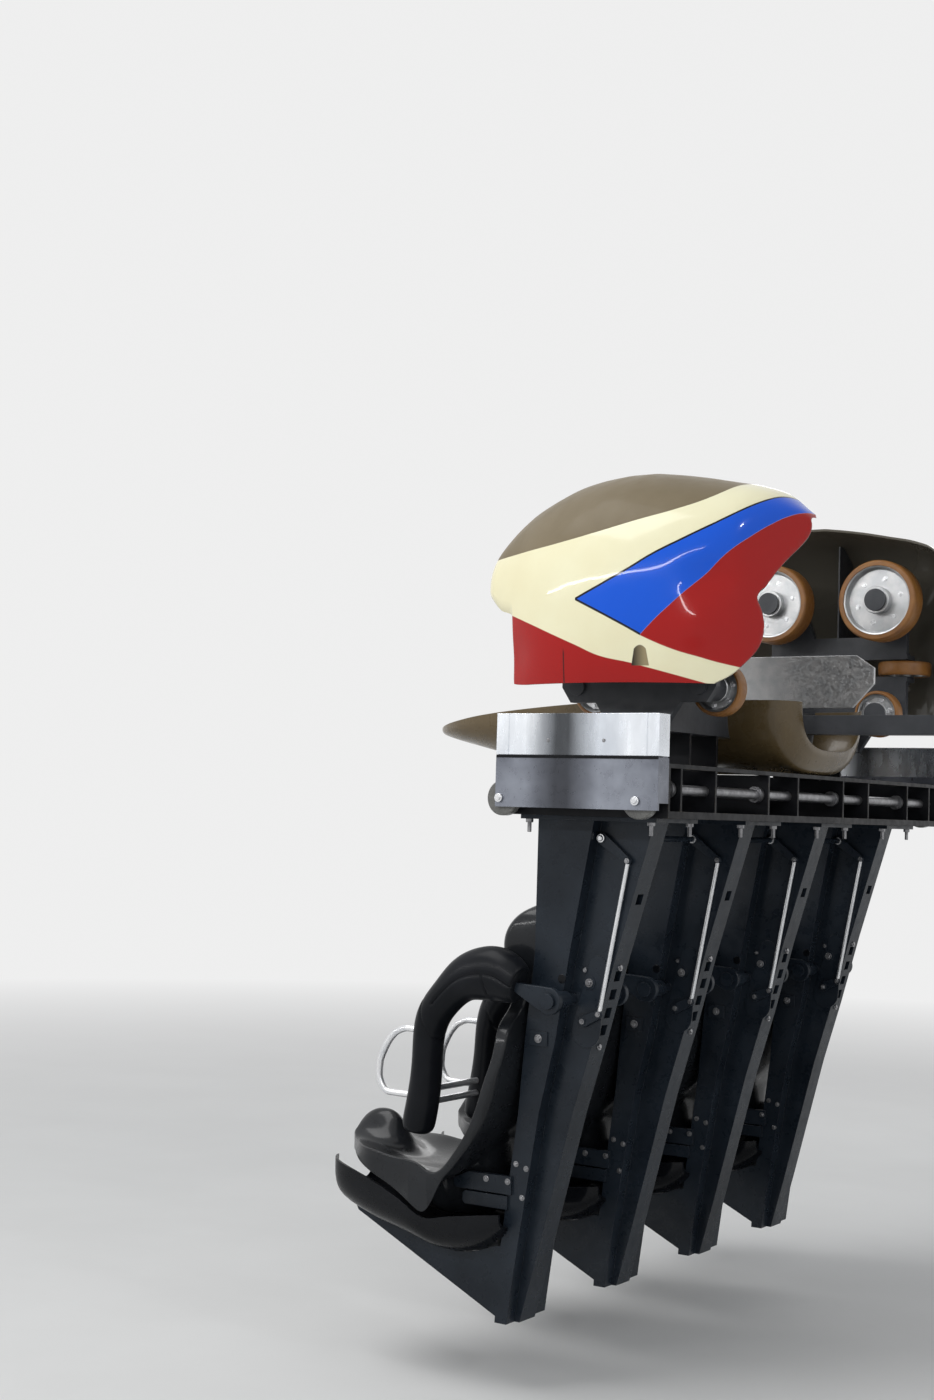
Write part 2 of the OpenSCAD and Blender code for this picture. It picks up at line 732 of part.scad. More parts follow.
// Restraints: route of one padded tube in side view, from behind the shoulder to the lap. Columns:
// x, z, half distance taken off between the two tubes, radius in side view and across, as shares of the pad's
TUBE = [
    [203, -1038, 0, 0.78, 0.80],
    [211, -1036, 0, 1.06, 0.98],
    [243, -1017, 0, 1.30, 1.03],
    [283, -1006, 0, 1.42, 1.05],
    [330, -1010, 0, 1.36, 1.05],
    [378, -1024, 0, 1.22, 1.03],
    [415, -1050, 1, 1.04, 1.00],
    [446, -1080, 2, 0.94, 1.00],
    [475, -1112, 3, 0.91, 1.00],
    [497, -1144, 5, 0.88, 0.98],
    [511, -1185, 8, 0.80, 0.96],
    [517, -1231, 10, 0.73, 0.95],
    [519, -1290, 11, 0.72, 0.95],
    [525, -1362, 12, 0.80, 0.95],
    [540, -1445, 12, 0.84, 0.95],
    [545, -1472, 12, 0.80, 0.90],
    [547, -1483, 12, 0.58, 0.66]
];
// Route of a grab handle in side view, from its tube forward and back. Columns: x, z
HANDLE = [
    [554, -1190],
    [592, -1189],
    [629, -1201],
    [652, -1222],
    [672, -1254],
    [688, -1296],
    [690, -1331],
    [678, -1362],
    [650, -1380],
    [569, -1381]
];
handle_y = restraint_y - 12;
bar_z = [-1362, -1399];
bar_x = 526;
bar_r = 10;
bar_bite = 2;
arm_tip = [195, -1041];
arm_tip_r = 14;

// An oval tube swept along a side view route.
// Each row of the route is x, y, z, radius in side view, radius across
module sweep(route, sides) {
    n = len(route);
    ring_loft([for (k = [0 : n - 1])
        let (a = route[max(k - 1, 0)], b = route[min(k + 1, n - 1)], p = route[k],
             long = norm([b[0] - a[0], b[2] - a[2]]), nx = -(b[2] - a[2]) / long, nz = (b[0] - a[0]) / long)
        [for (j = [0 : sides - 1])
            let (t = -360 * j / sides)
            [p[0] + p[3] * sin(t) * nx, p[1] + p[4] * cos(t), p[2] + p[3] * sin(t) * nz]]]);
}

// Hinge ears with the short arms from them into the pads, the cross bars and the grab handles
module restraint_arms(i) {
    y = seat_y(i);
    reach = restraint_y - TUBE[13][2] - pad_r * TUBE[13][4] + bar_bite;
    color("#3d4045")
    difference() {
        on_both_sides(capsule([hinge_x, hinge_z], hinge_r + 22, arm_tip, arm_tip_r), y, ear_y - ear_t, ear_y);
        cross_rod(hinge_x, hinge_z, y - ear_y - 1, y + ear_y + 1, hinge_r + axle_fit);
    }
    color("#3d4045")
    for (s = [-1, 1])
        sweep([for (row = HANDLE) [row[0], y + s * handle_y, row[1], handle_r, handle_r]], 12);
    color("#c4c7cb")
    for (z = bar_z)
        cross_rod(bar_x, z, y - reach, y + reach, bar_r);
}

module restraint_pads(i) {
    color("#212327")
    for (s = [-1, 1])
        sweep([for (row = TUBE)
            [row[0], seat_y(i) + s * (restraint_y - row[2]), row[1], pad_r * row[3], pad_r * row[4]]], 14);
}

// Wheel covers: a half dome over each pair of wheels, open towards the track and below.
// Columns: x, crest height, outer y, height of the widest place, lower edge height
COVER = [
    [-492, 318, 592, 306, -170],
    [-470, 337, 628, 312, -170],
    [-445, 358, 674, 316, -170],
    [-415, 384, 728, 300, -170],
    [-385, 404, 778, 270, -170],
    [-350, 417, 828, 232, -170],
    [-320, 426, 858, 200, -170],
    [-250, 440, 908, 140, -170],
    [-150, 460, 950, 90, -170],
    [-50, 475, 970, 70, -170],
    [0, 480, 974, 64, -170],
    [50, 480, 974, 60, -170],
    [120, 474, 968, 60, -170],
    [200, 460, 952, 60, -170],
    [280, 432, 926, 66, -170],
    [345, 404, 896, 74, -165],
    [360, 396, 888, 80, 36],
    [420, 352, 858, 96, 60],
    [467, 296, 822, 116, 96],
    [500, 238, 760, 126, 112],
    [522, 178, 670, 134, 124]
];
COVER_A = [0, 12, 25, 38, 50, 62, 74, 84, 90];

// The side view of what is cut from a cover behind its rear edge, from the tail's tip down to the skirt
COVER_TAIL = [
    [-520, 300], [-491, 300], [-485, 263], [-472, 212], [-457, 177], [-433, 143], [-416, 117], [-399, 97],
    [-386, 88], [-386, 72], [-392, 52], [-397, 26], [-398, 0], [-396, -30], [-390, -58], [-379, -84],
    [-364, -108], [-348, -132], [-328, -152], [-296, -171], [-296, -180], [-520, -180]
];

// The outer line of a cover's section: a quarter oval from the crest out to the widest place, then down
function cover_line(row, t) =
    let (w = row[2] - t - cover_in_y, h = row[1] - t - row[3])
    concat(
        [for (a = COVER_A) [row[0], cover_in_y + w * pow(sin(a), 0.85), row[3] + h * pow(cos(a), 0.85)]],
        [[row[0], cover_in_y + w * 0.995, row[3] * 0.5 + row[4] * 0.5],
         [row[0], cover_in_y + w * 0.96, row[4]]]);

module cover_body() {
    color("#e8dca0")
    difference() {
        wall_loft([for (row = COVER) cover_line(row, 0)], [for (row = COVER) cover_line(row, skin_t)]);
        side_prism(COVER_TAIL, cover_in_y - 10, plate_out_y + 200);
    }
}

module wheel_cover(side) {
    if (side == "left") cover_body();
    else mirror([0, 1, 0]) cover_body();
}

// Belly cover: a boat-shaped tub that rests on the row frame, under the couplings.
// Columns: x, height of its bottom above the row frame, rim height, half width
belly_fit = 0.3;
belly_power = 0.7;
BELLY = [
    [-292, 66, -180, 240],
    [-268, 22, -180, 290],
    [-235, belly_fit, -180, 318],
    [-100, belly_fit, -180, 338],
    [100, belly_fit, -180, 342],
    [row_x + 20, belly_fit, -180, 345],
    [480, 8, -192, 345],
    [680, 28, -208, 335],
    [840, 54, -224, 308],
    [960, 80, -240, 264],
    [1050, 100, -252, 200],
    [1110, 114, -262, 125],
    [1136, 122, -268, 60]
];
BELLY_A = [0, 18, 38, 60, 90, 120, 142, 162, 180];

module belly_cover() {
    color("#b09a64")
    difference() {
        wall_loft(
            [for (row = BELLY)
                tub_line(row[0], 0, row[2], row[3], row[2] - row_top - row[1], BELLY_A, belly_power)],
            [for (row = BELLY)
                tub_line(row[0], 0, row[2], row[3] - skin_t, (row[2] - row_top - row[1]) * 0.93,
                         BELLY_A, belly_power)]);
        block([-beam_l / 2 - 5, -400, beam_bottom - 5], [beam_l / 2 + 5, 400, 0]);
    }
}

axle_beam();
brake_fin();
row_frame();
row_ribs();
release_shaft();
release_rods();
belly_cover();
for (side = ["left", "right"]) {
    carrier(side);
    wheel_cover(side);
    end_cover(side);
    end_plate(side);
    for (end = ENDS) {
        road_wheel(side, end);
        guide_wheel(side, end);
        upstop_wheel(side, end);
        roller(side, end);
    }
}
for (end = ENDS)
    drawbar(end);
for (i = SEATS) {
    seat_post(i);
    seat_shell(i);
    seat_tray(i);
    restraint_arms(i);
    restraint_pads(i);
}
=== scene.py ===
import math

import bmesh
import bpy
from mathutils import Matrix, Vector


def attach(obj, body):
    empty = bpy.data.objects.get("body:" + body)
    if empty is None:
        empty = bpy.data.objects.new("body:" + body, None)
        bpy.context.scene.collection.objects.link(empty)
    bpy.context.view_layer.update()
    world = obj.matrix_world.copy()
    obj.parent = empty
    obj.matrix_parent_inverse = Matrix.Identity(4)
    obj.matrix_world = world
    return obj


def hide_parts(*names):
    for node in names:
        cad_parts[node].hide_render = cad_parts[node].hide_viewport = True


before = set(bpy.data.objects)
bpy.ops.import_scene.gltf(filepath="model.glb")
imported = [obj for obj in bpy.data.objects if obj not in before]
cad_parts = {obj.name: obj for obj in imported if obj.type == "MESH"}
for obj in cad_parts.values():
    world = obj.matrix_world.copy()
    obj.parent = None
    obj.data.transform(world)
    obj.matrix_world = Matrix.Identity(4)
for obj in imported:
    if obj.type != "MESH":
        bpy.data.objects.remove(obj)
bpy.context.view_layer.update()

MM = 0.001

# Camera, solved from the photo
CAMERA_PLACE = (-2.73, 5.775, -0.551)
CAMERA_YAW = 33.516
CAMERA_PITCH = 3.309
CAMERA_ROLL = 1.736
CAMERA_LENS = 50.19

# The floor that the car hangs over, and the distances between which it turns into the backdrop, in metres
FLOOR_Z, FLOOR_HALF = -2.20, 30
FLOOR_NEAR, FLOOR_FAR = 4.0, 13.0
BACKDROP = (0.86, 0.86, 0.86, 1)

# Main places of the car, in millimetres, as in its construction
COVER_IN_Y = 572
SKIN_T = 8
SEAT_PITCH = 571
POST_W = 214
RIB_W = 85
RIB_SHIFT = 18
TRAY_W = 400
TRAY_T = 9
RESTRAINT_Y = 176
PAD_R = 56
HANDLE_R = 10
HINGE_X, HINGE_Z, HINGE_R = 93, -1070, 16
ARM_TIP = (197, -1040, 14)
EAR_T = 18
EAR_Y = RESTRAINT_Y + 24
BAR_X, BAR_R = 526, 10
BAR_Z = (-1362, -1399)
HANDLE_Y = RESTRAINT_Y - 12
# Row ends: the outer face, the end plate's top edge and the half length of the black strip that stands as the
# painted shadow in the gap where the end cover meets the end plate
END_Y, PLATE_TOP, SHADOW_STRIP_X = 1101, -390, 259
# Bolts of a row end. Columns: x, z, distance from the outer face, radius
ROLLER_BOLTS = [(246, -505, 5, 8), (-192, -505, 5, 8)]
COVER_BOLTS = [(89, -341, 0, 3.5), (-89, -341, 0, 3.5)]
# The release levers' cross shaft with its levers, rods and lower links. Each place is x, z, radius
LEVER_TOP, ROD_TOP = (6, -611, 17), (-80, -672, 10)
ROD_LOW, LINK_PIN = (1, -1107, 12), (52, -1131, 16)
LEVER_T, LEVER_SHAFT_R, ROD_R, ROD_GAP = 8, 9, 6, 12
# Fixings of a seat post. Columns: x, z, distance from the box's side or the rib's side, radius
BOX_BOLTS = [(175, -1187, 5, 8), (335, -1601, 8, 6), (262, -1601, 8, 6), (240, -1549, 0, 5.5),
             (206, -1559, 0, 5.5), (217, -1642, 0, 5.5)]
RIB_BOLTS = [(39, -1022, 6, 8), (54, -987, 6, 4)]
# Bolts in the post's rear face: places as x and z, direction and radius
REAR_BOLTS, REAR_OUT, REAR_BOLT_R = [(-32.958, -976), (29.133, -1204)], (-0.96, 0, 0.28), 7
# The studs under the row frame beside each post, and the plug in the post's side
STUD_X, STUD_Z, STUD_LENGTH, STUD_GAP = (221, -174), -562, 38, 10
PLUG_X, PLUG_Z, PLUG_R = 105, -1013, 13
SEATS = (1, 2, 3, 4)
SIDES = {"left": 1, "right": -1}
ENDS = {"front": 1, "rear": -1}

# Track wheels, one of each kind at each corner. Columns: centre, axis, radius, width, axle's radius, hub's wall
WHEELS = {
    "road_wheel": ((200, 620, 224), (0, 1, 0), 140, 90, 25, 22),
    "guide_wheel": ((225, 796, 0), (0, 0, 1), 92, 56, 18, 15),
    "upstop_wheel": ((200, 620, -168), (0, 1, 0), 80, 60, 25, 15),
}
# Their bolts, the gap in a bore, the step from the hub's face to the tread's, and that from the rim to its dish
WHEEL_BOLTS, WHEEL_BOLT_R, BORE_GAP, TREAD_INSET, DISH_INSET = 6, 6, 0.08, 4, 12
# The rim's share of the radius, and half the web's share of the width
RIM_SHARE, WEB_SHARE = 0.86, 0.15

# Wheel cover. Columns: x, crest height, outer y, height of the widest place, lower edge height
COVER = [
    [-492, 318, 592, 306, -170],
    [-470, 337, 628, 312, -170],
    [-445, 358, 674, 316, -170],
    [-415, 384, 728, 300, -170],
    [-385, 404, 778, 270, -170],
    [-350, 417, 828, 232, -170],
    [-320, 426, 858, 200, -170],
    [-250, 440, 908, 140, -170],
    [-150, 460, 950, 90, -170],
    [-50, 475, 970, 70, -170],
    [0, 480, 974, 64, -170],
    [50, 480, 974, 60, -170],
    [120, 474, 968, 60, -170],
    [200, 460, 952, 60, -170],
    [280, 432, 926, 66, -170],
    [345, 404, 896, 74, -165],
    [360, 396, 888, 80, 36],
    [420, 352, 858, 96, 60],
    [467, 296, 832, 120, 96],
    [500, 240, 782, 132, 112],
    [522, 190, 708, 140, 124],
    [536, 164, 620, 146, 136],
]
# Hollows and bulges of the cover's side. Columns: x, z, reach along, reach in height, how far it stands out
COVER_SCULPT = [(-288, 132, 62, 44, -17), (-268, -8, 62, 62, 12), (330, -90, 60, 60, -7)]
# Side view of what is cut from a cover behind its rear edge
COVER_TAIL = [
    (-520, 360), (-464, 360), (-474, 322), (-477, 298), (-473, 270), (-456, 232), (-438, 200), (-421, 165),
    (-407, 132), (-397, 106), (-386, 92), (-384, 74), (-391, 52), (-396, 26), (-398, 0), (-396, -30),
    (-390, -58), (-379, -84), (-364, -108), (-348, -132), (-328, -152), (-296, -171), (-296, -180),
    (-520, -180),
]
CUT_Y = (COVER_IN_Y - 12, 1000)
# How square the cover's oval section is, and the share of its width by which the side draws in at the foot
OVAL_POWER, FOOT_TUCK = 0.85, 0.04
# Painted lines on the wheel cover's side view, from rear to front. Columns: x, z
TAN_LINE = [(-330, 470), (-300, 416), (-256, 365), (-186, 330), (-82, 298), (34, 267), (171, 241),
            (295, 228), (540, 214)]
BLUE_TOP_LINE = [(-500, 420), (-414, 383), (-391, 362), (-324, 305), (-235, 247), (-133, 189), (-65, 147),
                 (92, 70)]
BLUE_LOW_LINE = [(-500, 355), (-442, 321), (-406, 287), (-368, 244), (-323, 194), (-262, 122), (-199, 53),
                 (-156, 10), (-114, -35), (-56, -3), (92, 70)]
FRONT_LINE = [(-500, -240), (-89, -116), (7, -95), (89, -62), (193, -21), (266, 7), (379, 46), (540, 92)]
REAR_LINE = [(-500, -150), (-317, -112), (-268, -97), (-209, -79), (-114, -38), (540, 300)]
LINE_SOFTNESS = 0.001
# The blue field's front tip and the corner of its low edge, and the half width of the dark line round it
BLUE_TIP_X, CHEVRON_X, INK_W = 92, -114, 0.0042
# The arched recess, painted in as shade: place, heights of its top and foot, half widths there, and the crown's
# reach and height
ARCH_X, ARCH_TOP, ARCH_FOOT, ARCH_TOP_W, ARCH_FOOT_W = -113, -64, -122, 15, 25
CROWN_W, CROWN_H = 18, 12
# The crease in the front skirt, painted in as a dark line of shade: place, half width, and the heights between
# which it fades out
CREASE_X, CREASE_W, CREASE_TOP, CREASE_FULL = 132, 3.5, -68, -84
# Colours of the cover, fresh and faded, and the painted shade of the recess and the crease set into its surface
TAN, TAN_FADED = (0.185, 0.148, 0.092), (0.225, 0.184, 0.120)
CREAM, CREAM_FADED = (0.900, 0.860, 0.600), (0.860, 0.800, 0.530)
BLUE, RED, INK = (0.001, 0.098, 0.700), (0.385, 0.003, 0.002), (0.002, 0.002, 0.004)
ARCH_SHADED, ARCH_LIT, CREASE_SHADE = (0.030, 0.022, 0.012), (0.330, 0.270, 0.150), (0.060, 0.002, 0.002)
LAMINATE = (0.115, 0.105, 0.085)
# The painted dark reflection band on the row ends' metal: its middle, and where it has faded out and is full,
# in metres
REFLECTION_X, REFLECTION_FAR, REFLECTION_NEAR = 0.045, 0.12, 0.02

# Seat shell. Columns: x, z, half width, wing height, wall in the middle, wall at the edge, horn height,
# direction of the front in degrees above +X
SHELL = [
    [232, -812, 62, -4, 44, 40, 0, 0],
    [268, -830, 82, -6, 80, 72, 0, 0],
    [293, -852, 92, -8, 104, 92, 0, 0],
    [313, -882, 98, -8, 124, 110, 0, 0],
    [322, -914, 100, -8, 132, 118, 0, 0],
    [322, -942, 100, -8, 132, 118, 0, 0],
    [312, -970, 100, -4, 120, 100, 0, 0],
    [290, -1000, 102, 0, 96, 76, 0, 0],
    [266, -1034, 104, 6, 66, 50, 0, 0],
    [258, -1080, 108, 12, 46, 34, 0, 2],
    [259, -1112, 112, 18, 42, 28, 0, 3],
    [262, -1146, 172, 14, 40, 24, 0, 4],
    [265, -1190, 198, 2, 36, 22, 0, 4],
    [271, -1250, 207, 0, 34, 20, 0, 6],
    [276, -1300, 212, 18, 32, 20, 0, 8],
    [298, -1400, 216, 20, 30, 20, 0, 16],
    [338, -1490, 214, 22, 28, 20, 0, 34],
    [404, -1556, 208, 14, 26, 22, 0, 58],
    [444, -1578, 206, -8, 26, 22, 0, 72],
    [478, -1590, 204, 0, 28, 98, 0, 84],
    [506, -1595, 202, 24, 30, 148, 0, 86],
    [534, -1597, 200, 38, 30, 143, 0, 88],
    [600, -1594, 196, 34, 30, 94, 0, 91],
    [650, -1584, 193, 30, 30, 82, 6, 95],
    [690, -1572, 190, 24, 30, 72, 30, 99],
    [740, -1556, 176, 8, 30, 50, 85, 103],
    [790, -1545, 124, 0, 32, 36, 92, 107],
    [828, -1545, 88, 0, 40, 30, 82, 94],
    [850, -1540, 62, 0, 46, 22, 50, 88],
]
# Rounding of the shell's rim on the body and what the headrest adds, where it starts, and how soon it is full
RIM_SOFT, HEAD_SOFT, HEAD_LOW_Z, HEAD_BLEND = 7, 13, -1060, 60
# Steps across the rim, in its radii, and steps from there to the middle
RIM_STEPS, FLAT_STEPS = (0, 0.1, 0.3, 0.6), 12
# The horn's half width, and how late across the shell its wings and its thick edge rise
HORN_W, WING_POWER, EDGE_POWER = 50, 2.6, 8
# The rounded bowl under the saddle. Columns: x of the shell's row, depth, half width
BOWL = [(338, 0, 84), (404, 90, 90), (444, 132, 96), (478, 118, 130), (506, 108, 180), (534, 100, 184),
        (600, 42, 160), (650, 8, 130), (690, 0, 110)]
# Seat tray. Columns: x, bottom z, rim z, share of the full width
TRAY = [
    [262, -1745, -1690, 0.80], [300, -1792, -1692, 0.90],
    [380, -1822, -1703, 0.98], [440, -1826, -1712, 1.00],
    [492, -1818, -1729, 1.00], [550, -1803, -1697, 1.00],
    [620, -1790, -1664, 0.98], [704, -1774, -1636, 0.95],
    [800, -1745, -1612, 0.88], [860, -1722, -1600, 0.74],
    [884, -1700, -1598, 0.50],
]
# Padded tube. Columns: x, z, half distance taken off between the two tubes, radius in side view and across
TUBE = [
    [203, -1038, 0, 0.78, 0.80], [211, -1036, 0, 1.06, 0.98],
    [243, -1017, 0, 1.30, 1.03], [283, -1006, 0, 1.42, 1.05],
    [330, -1010, 0, 1.36, 1.05], [378, -1024, 0, 1.22, 1.03],
    [415, -1050, 1, 1.04, 1.00], [446, -1080, 2, 0.94, 1.00],
    [475, -1112, 3, 0.91, 1.00], [497, -1144, 5, 0.88, 0.98],
    [511, -1185, 8, 0.80, 0.96], [517, -1231, 10, 0.73, 0.95],
    [519, -1290, 11, 0.72, 0.95], [525, -1362, 12, 0.80, 0.95],
    [540, -1445, 12, 0.84, 0.95], [545, -1472, 12, 0.80, 0.90],
    [547, -1483, 12, 0.58, 0.66],
]
# Grab handle. Columns: x, z
HANDLE = [(554, -1190), (592, -1189), (629, -1201), (652, -1222), (672, -1254), (688, -1296), (690, -1331),
          (678, -1362), (650, -1380), (569, -1381)]
# Belly cover. Columns: x, bottom z, rim z, half width
BELLY = [
    [-292, -334, -180, 240], [-268, -378, -180, 290],
    [-235, -399.7, -180, 318], [-100, -399.7, -180, 338],
    [100, -399.7, -180, 342], [280, -399.7, -180, 345],
    [480, -392, -192, 345], [680, -372, -208, 335],
    [840, -346, -224, 308], [960, -320, -240, 264],
    [1050, -300, -252, 200], [1110, -286, -262, 125],
    [1136, -278, -268, 60],
]
# The notch cut from the belly cover where the beam passes: half length, and the section's corners
NOTCH_X, NOTCH_YZ = 90, ((-400, -300), (400, -300), (400, 0), (-400, 0))


def seat_y(i):
    return (2.5 - i) * SEAT_PITCH


# Shader helpers


def feed(tree, target, inputs):
    """Sets or links a node's inputs."""
    for slot, value in inputs.items():
        if isinstance(value, bpy.types.NodeSocket):
            tree.links.new(value, target.inputs[slot])
        else:
            target.inputs[slot].default_value = value


def node(tree, kind, inputs=None, **settings):
    """A shader node, with its settings, and with its inputs set or linked."""
    made = tree.nodes.new("ShaderNode" + kind)
    for name, value in settings.items():
        setattr(made, name, value)
    feed(tree, made, inputs or {})
    return made


def new_material(name):
    material = bpy.data.materials.new(name)
    material.use_nodes = True
    return material, material.node_tree, material.node_tree.nodes["Principled BSDF"]


def maths(tree, operation, a, b=0.0, clamp=False):
    return node(tree, "Math", {0: a, 1: b}, operation=operation, use_clamp=clamp).outputs[0]


def times(tree, a, b, clamp=False):
    return maths(tree, "MULTIPLY", a, b, clamp)


def inverse(tree, mask):
    return maths(tree, "SUBTRACT", 1.0, mask)


def split(tree, kind, output):
    """X, Y and Z of what a node puts out."""
    return node(tree, "SeparateXYZ", {0: node(tree, kind).outputs[output]}).outputs


def spread(tree, value, low, high, to_low=0.0, to_high=1.0):
    """A value from low to high, stretched to another range and held inside it."""
    made = node(tree, "MapRange", {"Value": value, "From Min": low, "From Max": high,
                                   "To Min": to_low, "To Max": to_high})
    return made.outputs["Result"]


def noise(tree, scale, detail, stretch=(1, 1, 1), seed=0.0):
    place = node(tree, "TexCoord").outputs["Object"]
    offset = (seed, seed * 0.7, seed * 1.3)
    moved = node(tree, "Mapping", {"Vector": place, "Scale": stretch, "Location": offset}).outputs[0]
    made = node(tree, "TexNoise", {"Vector": moved, "Scale": scale, "Detail": detail, "Roughness": 0.55})
    return made.outputs["Fac"]


# Places of the two colours and of the result among a Mix node's sockets
MIX_A, MIX_B, MIX_RESULT = 6, 7, 2


def mix_color(tree, factor, first, second):
    first, second = (c if isinstance(c, bpy.types.NodeSocket) else (*c, 1) for c in (first, second))
    made = node(tree, "Mix", {0: factor, MIX_A: first, MIX_B: second}, data_type="RGBA")
    return made.outputs[MIX_RESULT]


# How alike the rounded and the true normal are where the mask of an edge starts and where it is full
EDGE_START, EDGE_FULL = 0.985, 0.86


def edge_mask(tree, radius):
    """The rounded normal near edges, and a mask that is 1 on the edges themselves."""
    bevel = node(tree, "Bevel", {"Radius": radius}, samples=6)
    true_normal = node(tree, "NewGeometry").outputs["Normal"]
    alike = node(tree, "VectorMath", {0: bevel.outputs[0], 1: true_normal}, operation="DOT_PRODUCT")
    return bevel.outputs[0], spread(tree, alike.outputs["Value"], EDGE_START, EDGE_FULL)


def surface(name, color, other, patch, rough, grain, metallic=0.0, coat=0.0, coat_rough=0.05, edge=0.0015,
            wear=None, wear_share=0.5, stretch=(1, 1, 1), specular=0.5, reflection_darkening=1.0):
    """A finish: patches of two near colours, uneven gloss, a fine grain, soft edges and some wear on them.
    Where the share for the painted dark reflection is below 1, the tone falls to that share on a band near the
    middle of the car's length."""
    material, tree, shader = new_material(name)
    cloudy = spread(tree, noise(tree, patch, 6, stretch), 0.36, 0.66)
    tint = mix_color(tree, cloudy, color, other)
    # A painted reflection: the tone darkens on a band near the middle of the car's length
    if reflection_darkening < 1:
        along = split(tree, "TexCoord", "Object")["X"]
        off_middle = maths(tree, "ABSOLUTE", maths(tree, "SUBTRACT", along, REFLECTION_X))
        dark = tuple(c * reflection_darkening for c in color)
        tint = mix_color(tree, spread(tree, off_middle, REFLECTION_FAR, REFLECTION_NEAR), tint, dark)
    rounded, edges = edge_mask(tree, edge)
    gloss = spread(tree, noise(tree, patch * 7, 5, stretch, 3.1), 0.35, 0.7, rough[0], rough[1])
    if wear:
        chips = spread(tree, noise(tree, 38, 6, seed=7.3), 0.60 - 0.2 * wear_share, 0.66)
        worn = times(tree, times(tree, edges, chips), wear_share, True)
        tint = mix_color(tree, worn, tint, wear)
    height = noise(tree, grain[0], 3, stretch, 1.7)
    bump = node(tree, "Bump", {"Height": height, "Strength": grain[1], "Distance": 0.001, "Normal": rounded})
    feed(tree, shader, {"Base Color": tint, "Roughness": gloss, "Normal": bump.outputs[0], "Metallic": metallic,
                        "Coat Weight": coat, "Coat Roughness": coat_rough, "Specular IOR Level": specular})
    return material


def above_line(tree, place, line):
    """The height over a line of the side view, drawn from rear to front, and a mask that is 1 above it."""
    low_x, high_x = line[0][0], line[-1][0]
    low_z = min(z for x, z in line) - 1
    high_z = max(z for x, z in line) + 1
    along = spread(tree, place["X"], low_x * MM, high_x * MM)
    curve = tree.nodes.new("ShaderNodeFloatCurve")
    points = curve.mapping.curves[0].points
    for k, (x, z) in enumerate(line):
        at = ((x - low_x) / (high_x - low_x), (z - low_z) / (high_z - low_z))
        # A new curve has its two end points
        point = points[0] if k == 0 else points[-1] if k == len(line) - 1 else points.new(*at)
        point.location = at
        if line is BLUE_LOW_LINE and x == CHEVRON_X:
            point.handle_type = "VECTOR"
    curve.mapping.update()
    tree.links.new(along, curve.inputs["Value"])
    height = spread(tree, curve.outputs[0], 0, 1, low_z * MM, high_z * MM)
    over = maths(tree, "SUBTRACT", place["Z"], height)
    return over, spread(tree, over, -LINE_SOFTNESS, LINE_SOFTNESS)


def painted_bands(tree, place, is_tan):
    """The cover's colours: tan dome, cream band, blue field with a dark line round it, red skirt and rear."""
    off_top, is_over_top = above_line(tree, place, BLUE_TOP_LINE)
    off_low, is_over_low = above_line(tree, place, BLUE_LOW_LINE)
    is_over_front = above_line(tree, place, FRONT_LINE)[1]
    is_over_rear = above_line(tree, place, REAR_LINE)[1]
    behind_tip = spread(tree, place["X"], BLUE_TIP_X * MM, (BLUE_TIP_X - 1) * MM)
    behind_chevron = spread(tree, place["X"], CHEVRON_X * MM, (CHEVRON_X - 1) * MM)
    is_blue = times(tree, times(tree, inverse(tree, is_over_top), is_over_low), behind_tip, True)
    rear_red = times(tree, times(tree, inverse(tree, is_over_low), is_over_rear), behind_chevron, True)
    near_top = spread(tree, maths(tree, "ABSOLUTE", off_top), INK_W, INK_W * 0.6)
    near_low = spread(tree, maths(tree, "ABSOLUTE", off_low), INK_W, INK_W * 0.6)
    near_low = times(tree, near_low, inverse(tree, behind_chevron), True)
    lined = times(tree, maths(tree, "MAXIMUM", near_top, near_low), behind_tip, True)
    cream = mix_color(tree, spread(tree, noise(tree, 3.5, 6), 0.4, 0.7), CREAM, CREAM_FADED)
    tan = mix_color(tree, spread(tree, noise(tree, 4.5, 7, seed=2.0), 0.35, 0.7), TAN, TAN_FADED)
    color = mix_color(tree, is_tan, cream, tan)
    for mask, paint in ((inverse(tree, is_over_front), RED), (rear_red, RED), (is_blue, BLUE), (lined, INK)):
        color = mix_color(tree, mask, color, paint)
    return color


def arch_and_crease(tree, place, color):
    """A small arched recess low on the side and a crease in the front skirt, both painted in as shade: the
    recess darkest at its front, the crease a dark line.
    """
    along = maths(tree, "SUBTRACT", place["X"], ARCH_X * MM)
    aside = maths(tree, "ABSOLUTE", along)
    crown = times(tree, maths(tree, "POWER", maths(tree, "DIVIDE", aside, CROWN_W * MM), 2.0), CROWN_H * MM)
    under_crown = spread(tree, maths(tree, "ADD", place["Z"], crown), ARCH_TOP * MM, (ARCH_TOP - 2) * MM)
    half = spread(tree, place["Z"], ARCH_FOOT * MM, ARCH_TOP * MM, ARCH_FOOT_W * MM, ARCH_TOP_W * MM)
    inside = spread(tree, maths(tree, "SUBTRACT", aside, half), 0.5 * MM, -0.5 * MM)
    over_foot = spread(tree, place["Z"], (ARCH_FOOT - 2) * MM, ARCH_FOOT * MM)
    recess = times(tree, times(tree, under_crown, inside), over_foot, True)
    # Painted shade in the recess, dark at its front wall and lit towards its back
    shade = mix_color(tree, spread(tree, along, 20 * MM, -14 * MM), ARCH_SHADED, ARCH_LIT)
    color = mix_color(tree, recess, color, shade)
    # The crease is only a painted dark line of shade
    aside = maths(tree, "ABSOLUTE", maths(tree, "SUBTRACT", place["X"], CREASE_X * MM))
    low = spread(tree, place["Z"], CREASE_TOP * MM, CREASE_FULL * MM)
    crease = times(tree, spread(tree, aside, CREASE_W * MM, 1 * MM), low)
    return mix_color(tree, crease, color, CREASE_SHADE)


